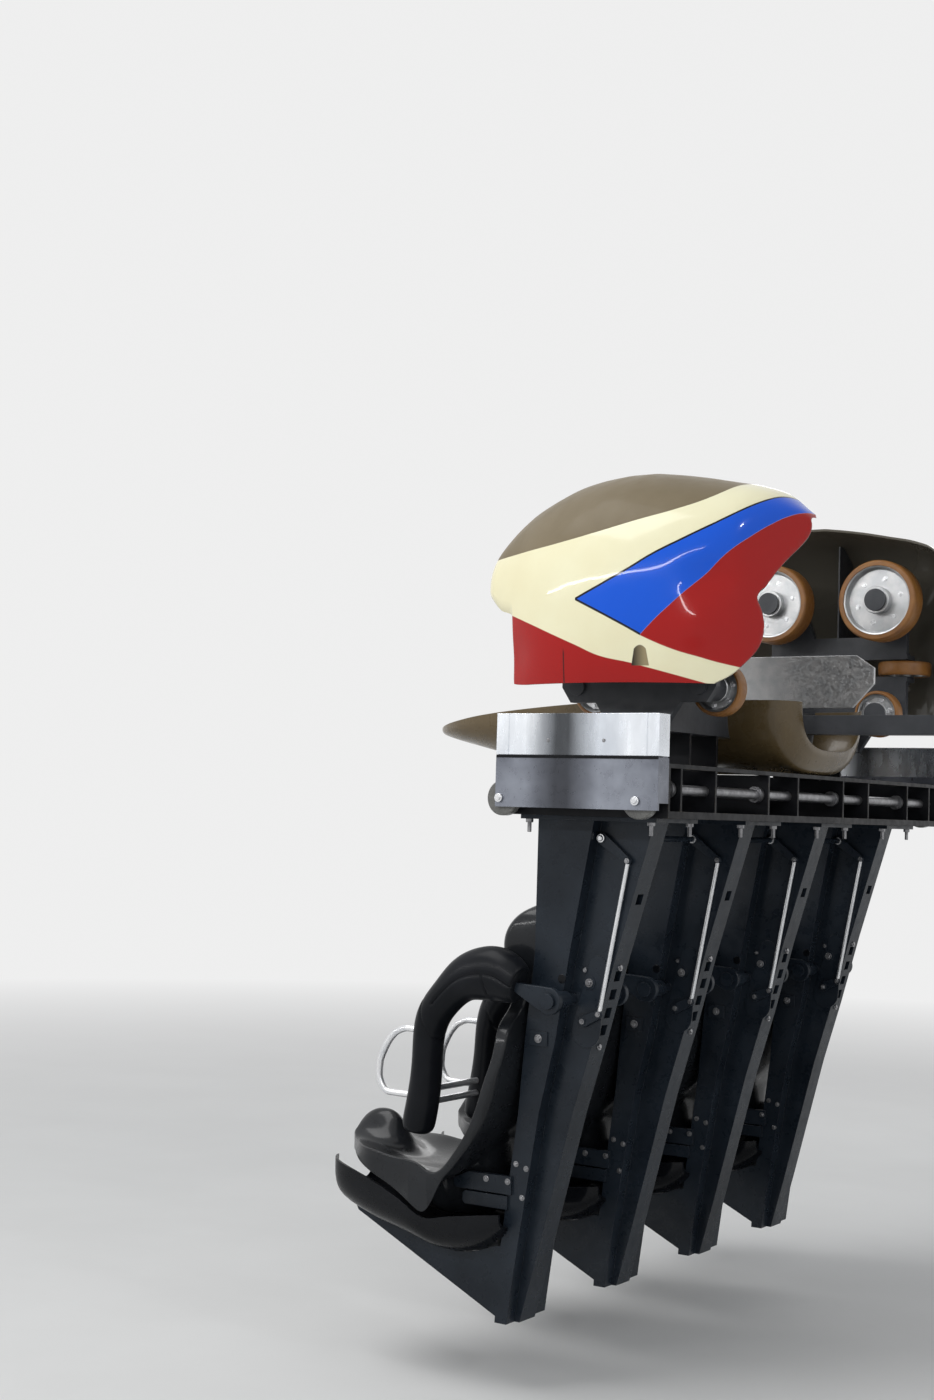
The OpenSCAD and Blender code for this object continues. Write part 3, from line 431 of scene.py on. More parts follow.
def cover_paint():
    """The wheel cover's gloss paint outside, and bare laminate inside."""
    material, tree, shader = new_material("cover_gelcoat")
    place = split(tree, "TexCoord", "Object")
    off_tan, is_tan = above_line(tree, place, TAN_LINE)
    color = arch_and_crease(tree, place, painted_bands(tree, place, is_tan))
    # The inside is where the surface looks back at the middle of the cover
    facing = split(tree, "NewGeometry", "Normal")
    outward = maths(tree, "ADD", times(tree, facing["Y"], place["Y"]), times(tree, facing["Z"], place["Z"]))
    color = mix_color(tree, spread(tree, outward, 0.0, -0.02), color, LAMINATE)
    # The tan dome is duller than the bands
    gloss = spread(tree, noise(tree, 26, 6, seed=4.0), 0.4, 0.75, 0.16, 0.26)
    gloss = maths(tree, "ADD", gloss, times(tree, is_tan, 0.20))
    coat = maths(tree, "SUBTRACT", 0.42, times(tree, is_tan, 0.38))
    # A shallow step where the tan dome leaves the band, and a slight ripple
    step = spread(tree, maths(tree, "ABSOLUTE", off_tan), 0.0, 0.003)
    height = maths(tree, "ADD", step, times(tree, noise(tree, 9, 2, seed=5.0), 0.2))
    rounded = edge_mask(tree, 0.003)[0]
    bump = node(tree, "Bump", {"Height": height, "Strength": 0.35, "Distance": 0.002, "Normal": rounded})
    feed(tree, shader, {"Base Color": color, "Roughness": gloss, "Normal": bump.outputs[0], "Coat Weight": coat,
                        "Coat Roughness": 0.03, "Specular IOR Level": 0.10})
    return material


COVER_PAINT = cover_paint()
BLACK_PAINT = surface("black_paint", (0.008, 0.012, 0.018), (0.019, 0.026, 0.036), 4.0, (0.24, 0.42),
                      wear=(0.20, 0.21, 0.22), wear_share=0.35, grain=(60, 0.06), specular=0.25)
GREY_PAINT = surface("carrier_paint", (0.036, 0.039, 0.045), (0.062, 0.065, 0.072), 6.0, (0.35, 0.55),
                     wear=(0.30, 0.30, 0.31), wear_share=0.5, grain=(90, 0.12), specular=0.4)
FRAME_PAINT = surface("row_paint", (0.006, 0.0065, 0.008), (0.014, 0.0145, 0.017), 5.0, (0.34, 0.55),
                      wear=(0.30, 0.25, 0.18), wear_share=0.6, grain=(80, 0.10), specular=0.15)
# The end plate and the sheet steel of the end covers get a painted dark reflection across the middle of the
# car's length
PLATE_PAINT = surface("end_plate_paint", (0.14, 0.15, 0.18), (0.30, 0.32, 0.37), 4.5, (0.24, 0.42),
                      metallic=0.6, wear=(0.42, 0.43, 0.46), wear_share=0.6, grain=(70, 0.02), reflection_darkening=0.35)
SHEET_STEEL = surface("sheet_steel", (0.66, 0.70, 0.76), (0.90, 0.93, 0.97), 5.0, (0.20, 0.34), metallic=0.9,
                      stretch=(1, 1, 0.3), grain=(160, 0.03), reflection_darkening=0.12)
ROD_STEEL = surface("plated_rod", (0.74, 0.75, 0.77), (0.86, 0.86, 0.87), 20.0, (0.18, 0.28), metallic=0.65,
                    grain=(40, 0.0), edge=0.0005)
BOLT_STEEL = surface("bolt_steel", (0.20, 0.20, 0.21), (0.34, 0.34, 0.35), 60.0, (0.30, 0.45), metallic=0.9,
                     grain=(300, 0.02), edge=0.0005)
ALLOY = surface("worn_alloy", (0.40, 0.41, 0.42), (0.52, 0.52, 0.52), 24.0, (0.30, 0.50), metallic=1.0,
                grain=(140, 0.06))
TREAD = surface("polyurethane", (0.300, 0.130, 0.030), (0.200, 0.085, 0.025), 12.0, (0.35, 0.60),
                grain=(120, 0.12))
MILKY = surface("milky_plastic", (0.10, 0.10, 0.095), (0.15, 0.15, 0.14), 14.0, (0.22, 0.38), coat=0.10,
                grain=(90, 0.05))
BELLY_PAINT = surface("belly_gelcoat", (0.095, 0.066, 0.030), (0.140, 0.100, 0.048), 3.0, (0.22, 0.40),
                      coat=0.2, grain=(30, 0.08), specular=0.3)
SEAT_SKIN = surface("seat_shell", (0.008, 0.009, 0.011), (0.015, 0.017, 0.020), 5.0, (0.26, 0.36),
                    coat=0.35, coat_rough=0.12, wear=(0.07, 0.07, 0.08), wear_share=0.2, grain=(150, 0.02),
                    edge=0.003, specular=0.12)
TRAY_SKIN = surface("tray_skin", (0.003, 0.0035, 0.005), (0.006, 0.007, 0.009), 6.0, (0.24, 0.38),
                    coat=0.25, coat_rough=0.10, wear=(0.14, 0.14, 0.16), wear_share=0.5, grain=(150, 0.03),
                    specular=0.06)
PAD_SKIN = surface("pad_skin", (0.006, 0.007, 0.009), (0.011, 0.012, 0.015), 6.0, (0.34, 0.46),
                   coat=0.15, coat_rough=0.26, grain=(240, 0.05), edge=0.001, specular=0.05)

NODE_FINISH = {
    "axle_beam": GREY_PAINT, "carrier": GREY_PAINT, "drawbar": GREY_PAINT, "brake_fin": ALLOY,
    "row_frame": FRAME_PAINT, "row_ribs": FRAME_PAINT, "release_shaft": BOLT_STEEL, "release_rods": ROD_STEEL,
    "end_cover": SHEET_STEEL, "end_plate": PLATE_PAINT, "roller": MILKY, "seat_post": BLACK_PAINT,
    "seat_shell": SEAT_SKIN, "seat_tray": TRAY_SKIN, "restraint_arms": BLACK_PAINT, "restraint_pads": PAD_SKIN,
    "wheel_cover": COVER_PAINT, "belly_cover": BELLY_PAINT, **dict.fromkeys(WHEELS, TREAD),
}


def finish_cad_nodes():
    for name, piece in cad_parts.items():
        finish = next(value for key, value in NODE_FINISH.items() if name.startswith(key))
        for slot in piece.material_slots:
            slot.material = finish


# Mesh helpers


def placed(name, data):
    """An object in the scene, made from its data."""
    thing = bpy.data.objects.new(name, data)
    bpy.context.scene.collection.objects.link(thing)
    return thing


def solid_mesh(name, points, faces):
    """A mesh whose faces all look outward."""
    mesh = bpy.data.meshes.new(name)
    mesh.from_pydata(points, [], faces)
    mesh.validate()
    work = bmesh.new()
    work.from_mesh(mesh)
    bmesh.ops.recalc_face_normals(work, faces=work.faces)
    work.to_mesh(mesh)
    work.free()
    return mesh


def mesh_piece(name, points, faces, material, slot, body, sharp):
    """A visible piece on a body, with sharp edges where its faces meet at more than the given degrees."""
    mesh = solid_mesh(name, points, faces)
    mesh.shade_smooth()
    mesh.set_sharp_from_angle(angle=math.radians(sharp))
    mesh.materials.append(material)
    piece = placed(name, mesh)
    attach(piece, body)
    return piece


def between(rows, steps):
    """Rows put in between the given ones, on smooth curves that don't overshoot."""
    count = len(rows)

    def slope(k, c):
        if k == 0:
            return rows[1][c] - rows[0][c]
        if k == count - 1:
            return rows[k][c] - rows[k - 1][c]
        before, after = rows[k][c] - rows[k - 1][c], rows[k + 1][c] - rows[k][c]
        return 0 if before * after <= 0 else 2 * before * after / (before + after)

    fine = []
    for k in range(count - 1):
        for step in range(steps):
            t = step / steps
            row = []
            for c in range(len(rows[0])):
                a, b, m0, m1 = rows[k][c], rows[k + 1][c], slope(k, c), slope(k + 1, c)
                row.append(a * (2 * t**3 - 3 * t**2 + 1) + b * (3 * t**2 - 2 * t**3)
                           + m0 * (t**3 - 2 * t**2 + t) + m1 * (t**3 - t**2))
            fine.append(row)
    return fine + [list(rows[-1])]


def evened(rows, columns, reach, rounds=2):
    """Rows whose given columns are evened out along their length. The ends stay."""
    for _ in range(rounds):
        fine = [list(row) for row in rows]
        for k in range(1, len(rows) - 1):
            near = min(reach, k, len(rows) - 1 - k)
            for c in columns:
                fine[k][c] = sum(rows[n][c] for n in range(k - near, k + near + 1)) / (2 * near + 1)
        rows = fine
    return rows


def ring_faces(rings, points):
    """Quads over closed rows of points, with flat caps on the first and last ring."""
    faces = []
    for i in range(rings - 1):
        for j in range(points):
            k = (j + 1) % points
            faces.append((i * points + j, i * points + k, (i + 1) * points + k, (i + 1) * points + j))
    faces.append(tuple(reversed(range(points))))
    faces.append(tuple(range((rings - 1) * points, rings * points)))
    return faces


def wall(outer, inner):
    """Points and faces of a thin wall between two sheets of as many rows and points."""
    rings, count = len(outer), len(outer[0])
    points = []
    for out_line, in_line in zip(outer, inner):
        points += out_line + in_line[::-1]
    return points, ring_faces(rings, 2 * count)


def tube_mesh(route, sides, shape=None):
    """A tube along a route of (point, radius across, radius in side view), kept square to it, with no twist.
    shape says how far a place on the tube, by its row and angle, is pressed in."""
    points = []
    side = None
    for k, (centre, wide, high) in enumerate(route):
        ahead = (route[min(k + 1, len(route) - 1)][0] - route[max(k - 1, 0)][0]).normalized()
        if side is None:
            side = ahead.orthogonal().normalized() if abs(ahead.y) > 0.9 else Vector((0, 1, 0))
        side = (side - ahead * side.dot(ahead)).normalized()
        up = ahead.cross(side)
        for j in range(sides):
            a = 2 * math.pi * j / sides
            out = side * (wide * math.cos(a)) + up * (high * math.sin(a))
            if shape:
                out -= out.normalized() * shape(k, a)
            points.append(centre + out)
    return points, ring_faces(len(route), sides)


def arc(centre, radius, start, end, steps=24):
    """Points of the side view on an arc, between two angles in radians."""
    angles = [start + (end - start) * k / steps for k in range(steps + 1)]
    return [(centre[0] + radius * math.cos(a), centre[1] + radius * math.sin(a)) for a in angles]


def capsule(first, last):
    """The side view outline of two circles and their outer tangents. Each circle is x, z, radius."""
    dx, dz = last[0] - first[0], last[1] - first[1]
    turn = math.atan2(dz, dx)
    spread_angle = math.acos((first[2] - last[2]) / math.hypot(dx, dz))
    return (arc(first, first[2], turn + spread_angle, turn + 2 * math.pi - spread_angle)
            + arc(last, last[2], turn - spread_angle, turn + spread_angle))


def slab(outline, y0, y1, soft=1.5):
    """A plate of the given side view outline, between two values of Y, with soft edges."""
    mid_x = sum(x for x, z in outline) / len(outline)
    mid_z = sum(z for x, z in outline) / len(outline)
    rows = ((y0, soft), (y0 + soft, 0), (y1 - soft, 0), (y1, soft))
    points = []
    for y, inset in rows:
        for x, z in outline:
            share = 1 - inset / math.hypot(x - mid_x, z - mid_z)
            points.append(Vector((mid_x + (x - mid_x) * share, y, mid_z + (z - mid_z) * share)) * MM)
    return points, ring_faces(len(rows), len(outline))


def joined(parts):
    """Several lists of points and faces as one."""
    points, faces = [], []
    for part_points, part_faces in parts:
        start = len(points)
        points += part_points
        faces += [tuple(start + k for k in face) for face in part_faces]
    return points, faces


def spokes(axis, sides):
    """Directions spread evenly round an axis."""
    side = axis.orthogonal().normalized()
    up = axis.cross(side)
    angles = [2 * math.pi * j / sides for j in range(sides)]
    return [side * math.cos(a) + up * math.sin(a) for a in angles]


def turned(profile, centre, axis, sides):
    """A shape turned about an axis through centre, from a closed loop of (radius, place on the axis)."""
    points = []
    for out in spokes(axis, sides):
        points += [centre + out * r + axis * z for r, z in profile]
    count = len(profile)
    faces = []
    for j in range(sides):
        k = (j + 1) % sides
        for i in range(count):
            n = (i + 1) % count
            faces.append((j * count + i, k * count + i, k * count + n, j * count + n))
    return points, faces


# Rings of a bolt's washer and of its hexagon head. Columns: share of the radius, lift in radii
BOLT_RINGS = (
    (16, ((1.55, -0.2), (1.55, 0.22), (1.48, 0.28))),
    (6, ((1.0, 0.2), (1.0, 0.78), (0.86, 0.9))),
)


def bolt_mesh(place, normal, radius):
    """A hexagon head on a washer, sunk a little into what it holds."""
    normal = Vector(normal).normalized()
    parts = []
    for sides, rows in BOLT_RINGS:
        points = []
        for share, lift in rows:
            centre = Vector(place) + normal * (lift * radius)
            points += [centre + out * (share * radius) for out in spokes(normal, sides)]
        parts.append((points, ring_faces(len(rows), sides)))
    return joined(parts)


def bolts(name, places, material, body):
    """One piece that holds many bolts. Each place is a point, a normal and a radius, in millimetres."""
    parts = [bolt_mesh([c * MM for c in point], normal, radius * MM) for point, normal, radius in places]
    mesh_piece(name, *joined(parts), material, "rod_steel", body, sharp=30)


# Pieces


def cover_section(row, inset, fine=30, skirt=18):
    """A section of the wheel cover: a quarter oval from the crest to the widest place, then down the side."""
    x, crest, outer, wide_z, low_z = row
    w = outer - inset - COVER_IN_Y
    h = crest - inset - wide_z
    points = []
    for k in range(fine + 1):
        a = math.pi / 2 * k / fine
        points.append([x, COVER_IN_Y + w * math.sin(a)**OVAL_POWER,
                       wide_z + h * max(0, math.cos(a))**OVAL_POWER])
    for k in range(1, skirt + 1):
        t = k / skirt
        points.append([x, COVER_IN_Y + w * (1 - FOOT_TUCK * t * t), wide_z + (low_z - wide_z) * t])
    return points


def cover_sculpt(x, z):
    """How far the cover's side stands out of the plain oval, with its hollows and bulges."""
    return sum(out * math.exp(-(((x - mid_x) / along)**2 + ((z - mid_z) / high)**2))
               for mid_x, mid_z, along, high, out in COVER_SCULPT)


def softened(outline, rounds=2):
    """A line with its corners cut back, from its second point to the last but one."""
    for _ in range(rounds):
        fine = [outline[0], outline[1]]
        for (x0, z0), (x1, z1) in zip(outline[1:-2], outline[2:-1]):
            for near, far in ((0.75, 0.25), (0.25, 0.75)):
                fine.append((near * x0 + far * x1, near * z0 + far * z1))
        outline = fine + [outline[-2], outline[-1]]
    return outline


def cut_away(piece, points, faces):
    """Takes a closed solid away from a piece."""
    mesh = solid_mesh("cutter", points, faces)
    cutter = placed("cutter", mesh)
    step = piece.modifiers.new("cut", "BOOLEAN")
    step.operation = "DIFFERENCE"
    step.solver = "EXACT"
    step.object = cutter
    done = bpy.data.meshes.new_from_object(piece.evaluated_get(bpy.context.evaluated_depsgraph_get()))
    piece.modifiers.clear()
    before = piece.data
    piece.data = done
    done.name = before.name
    bpy.data.meshes.remove(before)
    bpy.data.objects.remove(cutter)
    bpy.data.meshes.remove(mesh)
    done.shade_smooth()
    done.set_sharp_from_angle(angle=math.radians(40))


def wheel_cover(side):
    s = SIDES[side]
    outer, inner = [], []
    for row in between(COVER, 6):
        for inset, sheet in ((0, outer), (SKIN_T, inner)):
            line = []
            for x, y, z in cover_section(row, inset):
                y += cover_sculpt(x, z)
                line.append(Vector((x * MM, s * y * MM, z * MM)))
            sheet.append(line)
    piece = mesh_piece(f"cover_shell_{side}", *wall(outer, inner), COVER_PAINT, "cover_gloss", "root", sharp=40)
    line = softened(COVER_TAIL)
    cutter = [Vector((x, s * y, z)) * MM for y in CUT_Y for x, z in line]
    cut_away(piece, cutter, ring_faces(2, len(line)))
    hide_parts(f"wheel_cover_{side}")


def tub_section(x, y, rim, w, d, power, fine=36):
    """A section of an open tub, from one rim down round its bottom to the other rim."""
    points = []
    for k in range(fine + 1):
        a = math.pi * k / fine
        c = math.cos(a)
        points.append(Vector((x * MM, (y + math.copysign(w * abs(c)**power, c)) * MM,
                              (rim - d * max(0, math.sin(a))**power) * MM)))
    return points


def belly():
    outer, inner = [], []
    for x, low, rim, w in between(BELLY, 4):
        outer.append(tub_section(x, 0, rim, w, rim - low, 0.7))
        inner.append(tub_section(x, 0, rim, w - SKIN_T, (rim - low) * 0.93, 0.7))
    piece = mesh_piece("belly_shell", *wall(outer, inner), BELLY_PAINT, "belly_gloss", "root", sharp=40)
    corners = [Vector((x, y, z)) * MM for x in (-NOTCH_X, NOTCH_X) for y, z in NOTCH_YZ]
    cut_away(piece, corners, ring_faces(2, 4))
    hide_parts("belly_cover")


def tray(i):
    outer, inner = [], []
    for x, low, rim, share in evened(between(TRAY, 8), range(4), 4):
        w = TRAY_W / 2 * share
        outer.append(tub_section(x, seat_y(i), rim, w, rim - low, 0.6))
        inner.append(tub_section(x, seat_y(i), rim, w - TRAY_T, rim - low - TRAY_T, 0.6))
    piece = mesh_piece(f"tray_{i}", *wall(outer, inner), TRAY_SKIN, "tray_plastic", "root", sharp=40)
    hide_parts(f"seat_tray_{i}")


def bowl_depth(x, y):
    """How much deeper the shell is under the saddle, at a row's x and a distance from its middle."""
    for (x0, d0, w0), (x1, d1, w1) in zip(BOWL, BOWL[1:]):
        if x0 <= x <= x1:
            t = (x - x0) / (x1 - x0)
            t = t * t * (3 - 2 * t)
            share = min(1, abs(y) / (w0 + (w1 - w0) * t))
            return (d0 + (d1 - d0) * t) * (1 - share**3)**0.6
    return 0


def shell(i):
    """The seat: headrest, back with side wings, and the saddle with its skirts, horn and bowl."""
    rings = []
    for x, z, half, wing, mid, edge, horn, turn in evened(between(SHELL, 7), range(8), 4):
        out = Vector((math.cos(math.radians(turn)), 0, math.sin(math.radians(turn))))
        centre = Vector((x, seat_y(i), z))
        soft = RIM_SOFT + HEAD_SOFT * min(1, max(0, (z - HEAD_LOW_Z) / HEAD_BLEND))
        sides = [soft * t for t in RIM_STEPS]
        span = [-half + t for t in sides]
        span += [(half - soft) * (k / FLAT_STEPS - 1) for k in range(2 * FLAT_STEPS + 1)]
        span += [half - t for t in reversed(sides)]
        front, back = [], []
        for y in span:
            u = abs(y) / half
            rise = wing * u**WING_POWER + horn * math.exp(-(y / HORN_W)**2)
            depth = mid + max((edge - mid) * u**EDGE_POWER, bowl_depth(x, y))
            inside = min(soft, half - abs(y))
            drop = min(soft - math.sqrt(soft**2 - (soft - inside)**2), depth / 2 - 1)
            middle = centre + Vector((0, y, 0))
            front.append((middle + out * (rise - drop)) * MM)
            back.append((middle + out * (rise - depth + drop)) * MM)
        rings.append(front + back[::-1])
    points = [p for ring in rings for p in ring]
    piece = mesh_piece(f"shell_{i}", points, ring_faces(len(rings), len(rings[0])), SEAT_SKIN, "seat_plastic",
                       "root", sharp=50)
    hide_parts(f"seat_shell_{i}")


# Moulded seams of a pad: a slanted ring where the bend ends, a short one on the shoulder, a long one beside it
# Each lean is how far a seam moves along the tube from its middle line to its top, in radii
RING_X, RING_LEAN, SHORT_X, SHORT_LEAN = 500, -0.9, 297, 0.4
SEAM_W, SEAM_DEPTH, LONG_SEAM_END = 3.6, 5.0, 60


def pad_tube(i, s):
    """One soft tube of a restraint, with its seams pressed in."""
    route, along, place = [], [], 0.0
    rows = evened(between(TUBE, 14), range(5), 7)
    for x, z, taken, high, wide in rows:
        centre = Vector((x, seat_y(i) + s * (RESTRAINT_Y - taken), z)) * MM
        if route:
            place += (centre - route[-1][0]).length / MM
        route.append((centre, PAD_R * wide * MM, PAD_R * high * MM))
        along.append(place)
    ring_at, short_at = (next(at for at, row in zip(along, rows) if row[0] >= x) for x in (RING_X, SHORT_X))

    def groove(away):
        return math.exp(-(away / SEAM_W)**2)

    def seam(k, angle):
        side, up = s * math.cos(angle), math.sin(angle)
        cut = SEAM_DEPTH * groove(along[k] - ring_at - RING_LEAN * PAD_R * up)
        if side > 0:
            if along[k] < ring_at - LONG_SEAM_END:
                cut += SEAM_DEPTH * groove(PAD_R * 1.3 * up)
            if up < -0.02:
                fade = min(1, -up * 8) * (up > -0.75)
                cut += SEAM_DEPTH * groove(along[k] - short_at - SHORT_LEAN * PAD_R * up) * fade
        return min(cut, SEAM_DEPTH) * MM

    return tube_mesh(route, 60, seam)


def pads(i):
    for name, s in SIDES.items():
        piece = mesh_piece(f"pad_{i}_{name}", *pad_tube(i, s), PAD_SKIN, "pad_foam", f"restraint_{i}", sharp=55)
        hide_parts(f"restraint_pads_{i}")


def ear_plate(y0, y1):
    """The hinge ear and the short arm as one tapered plate with the pin's bore in it."""
    outline = capsule((HINGE_X, HINGE_Z, HINGE_R + 22), ARM_TIP)
    profile = ((y0, -1), (y0, 1.5), (y0 + 1.5, 0), (y1 - 1.5, 0), (y1, 1.5), (y1, -1))
    points, faces = [], []
    for x, z in outline:
        dx, dz = x - HINGE_X, z - HINGE_Z
        away = math.hypot(dx, dz)
        for y, inset in profile:
            r = HINGE_R + BORE_GAP if inset < 0 else away - inset
            points.append(Vector((HINGE_X + dx / away * r, y, HINGE_Z + dz / away * r)) * MM)
    loop, count = len(profile), len(outline)
    for j in range(count):
        k = (j + 1) % count
        for m in range(loop):
            n = (m + 1) % loop
            faces.append((j * loop + m, j * loop + n, k * loop + n, k * loop + m))
    return points, faces


def arms(i):
    """Hinge ears with their short arms in black, cross bars and grab handles in bright steel."""
    body = f"restraint_{i}"
    y = seat_y(i)
    black, bright = [], []
    for s in SIDES.values():
        low, high = sorted((y + s * (EAR_Y - EAR_T), y + s * EAR_Y))
        black.append(ear_plate(low, high))
        handle = between([(x, y + s * HANDLE_Y, z) for x, z in HANDLE], 8)
        bright.append(tube_mesh([(Vector(place) * MM, HANDLE_R * MM, HANDLE_R * MM) for place in handle], 16))
    # The bars end just inside the pads
    reach = HANDLE_Y - PAD_R * 0.95 + 2
    for z in BAR_Z:
        bar = [(Vector((BAR_X, y + t * reach, z)) * MM, BAR_R * MM, BAR_R * MM) for t in (-1, -0.5, 0, 0.5, 1)]
        bright.append(tube_mesh(bar, 24))
    for name, parts, material, slot in (("arms", black, BLACK_PAINT, "bar_steel"),
                                        ("bars", bright, ROD_STEEL, "rod_steel")):
        piece = mesh_piece(f"{name}_{i}", *joined(parts), material, slot, body, sharp=35)
        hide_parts(f"restraint_arms_{i}")


def wheel(kind, side, end):
    """A turned tread and an alloy rim with its hub and a ring of bolts on both faces."""
    name = f"{kind}_{side}_{end}"
    (x, y, z), axis, radius, width, axle_r, hub_wall = WHEELS[kind]
    centre, axis = Vector((ENDS[end] * x, SIDES[side] * y, z)), Vector(axis)
    half = width / 2 - TREAD_INSET
    bond = radius * RIM_SHARE
    dish = bond - DISH_INSET
    bore = axle_r + BORE_GAP
    hub = bore + hub_wall
    web = width * WEB_SHARE
    # Half profiles. Columns: radius, place on the axis
    tread = [(bond, -half), (radius - 6, -half), (radius - 2, -half + 3), (radius, -half + 8)]
    rim = [(bore, -width / 2), (hub - 2, -width / 2), (hub, -width / 2 + 2), (hub, -web), (dish, -web),
           (bond - 6, -half + 4), (bond - 1, -half + 2)]
    for part, profile, material in (("tread", tread, TREAD), ("rim", rim, ALLOY)):
        profile += [(r, -place) for r, place in reversed(profile)]
        shape = turned([(r * MM, place * MM) for r, place in profile], centre * MM, axis, 72)
        piece = mesh_piece(f"{name}_{part}", *shape, material, "wheel_tread", name, sharp=35)
        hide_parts(name)
    places = []
    ring_r = (hub + dish) / 2
    for out in spokes(axis, WHEEL_BOLTS):
        for way in (-1, 1):
            places.append((centre + out * ring_r + axis * (way * web), axis * way, WHEEL_BOLT_R))
    bolts(f"{name}_bolts", places, ROD_STEEL, name)


def row_end_details():
    for side, s in SIDES.items():
        for name, rows, material in (("end_bolts", ROLLER_BOLTS, ROD_STEEL),
                                     ("cover_bolts", COVER_BOLTS, BOLT_STEEL)):
            places = [((x, s * (END_Y + away), z), (0, s, 0), radius) for x, z, away, radius in rows]
            bolts(f"{name}_{side}", places, material, "root")
        # A black strip is the painted shadow in the gap where the end cover meets the end plate
        low, high = sorted((s * (END_Y - 26), s * (END_Y + 1.5)))
        strip = [(x * SHADOW_STRIP_X, PLATE_TOP + z) for x, z in ((-1, -1), (1, -1), (1, 7), (-1, 7))]
        shadow_strip = slab(strip, low, high, 0.5)
        mesh_piece(f"end_shadow_strip_{side}", *shadow_strip, TRAY_SKIN, "black_steel", "root", sharp=30)


def pin(first, last, radius, sides=20, soft=1.0):
    """A round bar between two points, with soft ends."""
    first, last = Vector(first), Vector(last)
    along = (last - first).normalized() * soft
    rows = ((first, radius - soft), (first + along, radius), (last - along, radius), (last, radius - soft))
    return tube_mesh([(place * MM, r * MM, r * MM) for place, r in rows], sides)


def stud_mesh(x, y, z, length):
    """A stud that hangs from a flange, with its nut."""
    return [pin((x, y, z + 1), (x, y, z - 10.5), 11, 6, 1.5), pin((x, y, z), (x, y, z - length), 6, 14)]


def release_levers():
    """The cross shaft with a lever and a lower link beside each seat post, and the bright rods between them."""
    dark, bright = [], []
    right = seat_y(SEATS[-1]) + RIB_SHIFT - RIB_W / 2
    left = seat_y(SEATS[0]) + RIB_SHIFT + RIB_W / 2
    x, z, radius = LEVER_TOP
    dark.append(pin((x, right - ROD_GAP, z), (x, left + 2 * ROD_GAP, z), LEVER_SHAFT_R, 28))
    for i in SEATS:
        rib = seat_y(i) + RIB_SHIFT + RIB_W / 2
        y = rib + ROD_GAP
        for outline in (capsule(LEVER_TOP, ROD_TOP), capsule(LINK_PIN, ROD_LOW)):
            dark.append(slab(outline, y - LEVER_T / 2, y + LEVER_T / 2))
        pins = ((LEVER_TOP, LEVER_TOP[2] - 3, rib + 2), (ROD_TOP, ROD_TOP[2] - 1, y - LEVER_T),
                (ROD_LOW, ROD_TOP[2] - 1, y - LEVER_T), (LINK_PIN, ROD_TOP[2], rib + 3))
        for (x, z, _), radius, start in pins:
            dark.append(pin((x, start, z), (x, y + LEVER_T, z), radius))
        bright.append(pin((ROD_TOP[0], y, ROD_TOP[1]), (ROD_LOW[0], y, ROD_LOW[1]), ROD_R))
    for name, parts, material, slot in (("release_levers", dark, BLACK_PAINT, "black_steel"),
                                        ("release_bars", bright, ROD_STEEL, "rod_steel")):
        piece = mesh_piece(name, *joined(parts), material, slot, "root", sharp=35)
        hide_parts("release_rods")


def post_details(i):
    """The bolts, studs and plugs of a seat post, and the bright bolt of its release lever."""
    y = seat_y(i)
    rib = y + RIB_SHIFT + RIB_W / 2
    places, studs, plugs = [], [], []
    for s in SIDES.values():
        box = y + s * POST_W / 2
        places += [((x, box + s * away, z), (0, s, 0), radius) for x, z, away, radius in BOX_BOLTS]
        for x in STUD_X:
            studs += stud_mesh(x, box + s * STUD_GAP, STUD_Z, STUD_LENGTH)
        plugs.append(pin((PLUG_X, box - s, PLUG_Z), (PLUG_X, box + s * 1.5, PLUG_Z), PLUG_R, 28))
    places += [((x, rib + away, z), (0, 1, 0), radius) for x, z, away, radius in RIB_BOLTS]
    lever_y = rib + ROD_GAP + LEVER_T
    places += [((x, lever_y, z), (0, 1, 0), 5) for x, z, radius in (LINK_PIN, ROD_TOP, ROD_LOW)]
    places += [((x, y + RIB_SHIFT, z), REAR_OUT, REAR_BOLT_R) for x, z in REAR_BOLTS]
    bolts(f"post_bolts_{i}", places, BOLT_STEEL, "root")
    bolts(f"lever_bolt_{i}", [((LEVER_TOP[0], lever_y, LEVER_TOP[1]), (0, 1, 0), 8)], ROD_STEEL, "root")
    mesh_piece(f"post_studs_{i}", *joined(studs), BOLT_STEEL, "rod_steel", "root", sharp=30)
    mesh_piece(f"post_plugs_{i}", *joined(plugs), TRAY_SKIN, "black_steel", "root", sharp=30)


# Camera, lights and studio


def camera():
    yaw, pitch, roll = (math.radians(a) for a in (CAMERA_YAW, CAMERA_PITCH, CAMERA_ROLL))
    look = Vector((math.sin(yaw) * math.cos(pitch), -math.cos(yaw) * math.cos(pitch), math.sin(pitch)))
    right = Vector((-math.cos(yaw), -math.sin(yaw), 0))
    up = right.cross(look)
    across = right * math.cos(roll) + up * math.sin(roll)
    upward = up * math.cos(roll) - right * math.sin(roll)
    data = bpy.data.cameras.new("camera")
    data.lens = CAMERA_LENS
    data.sensor_width = 36
    data.clip_end = 200
    eye = placed("camera", data)
    facing = Matrix((across, upward, -look)).transposed().to_4x4()
    eye.matrix_world = Matrix.Translation(CAMERA_PLACE) @ facing
    bpy.context.scene.camera = eye


def soft_light(name, place, target, size, power):
    data = bpy.data.lights.new(name, "AREA")
    data.shape = "RECTANGLE"
    data.size, data.size_y = size
    data.energy = power
    lamp = placed(name, data)
    lamp.location = place
    lamp.rotation_euler = (Vector(target) - Vector(place)).to_track_quat("-Z", "Y").to_euler()


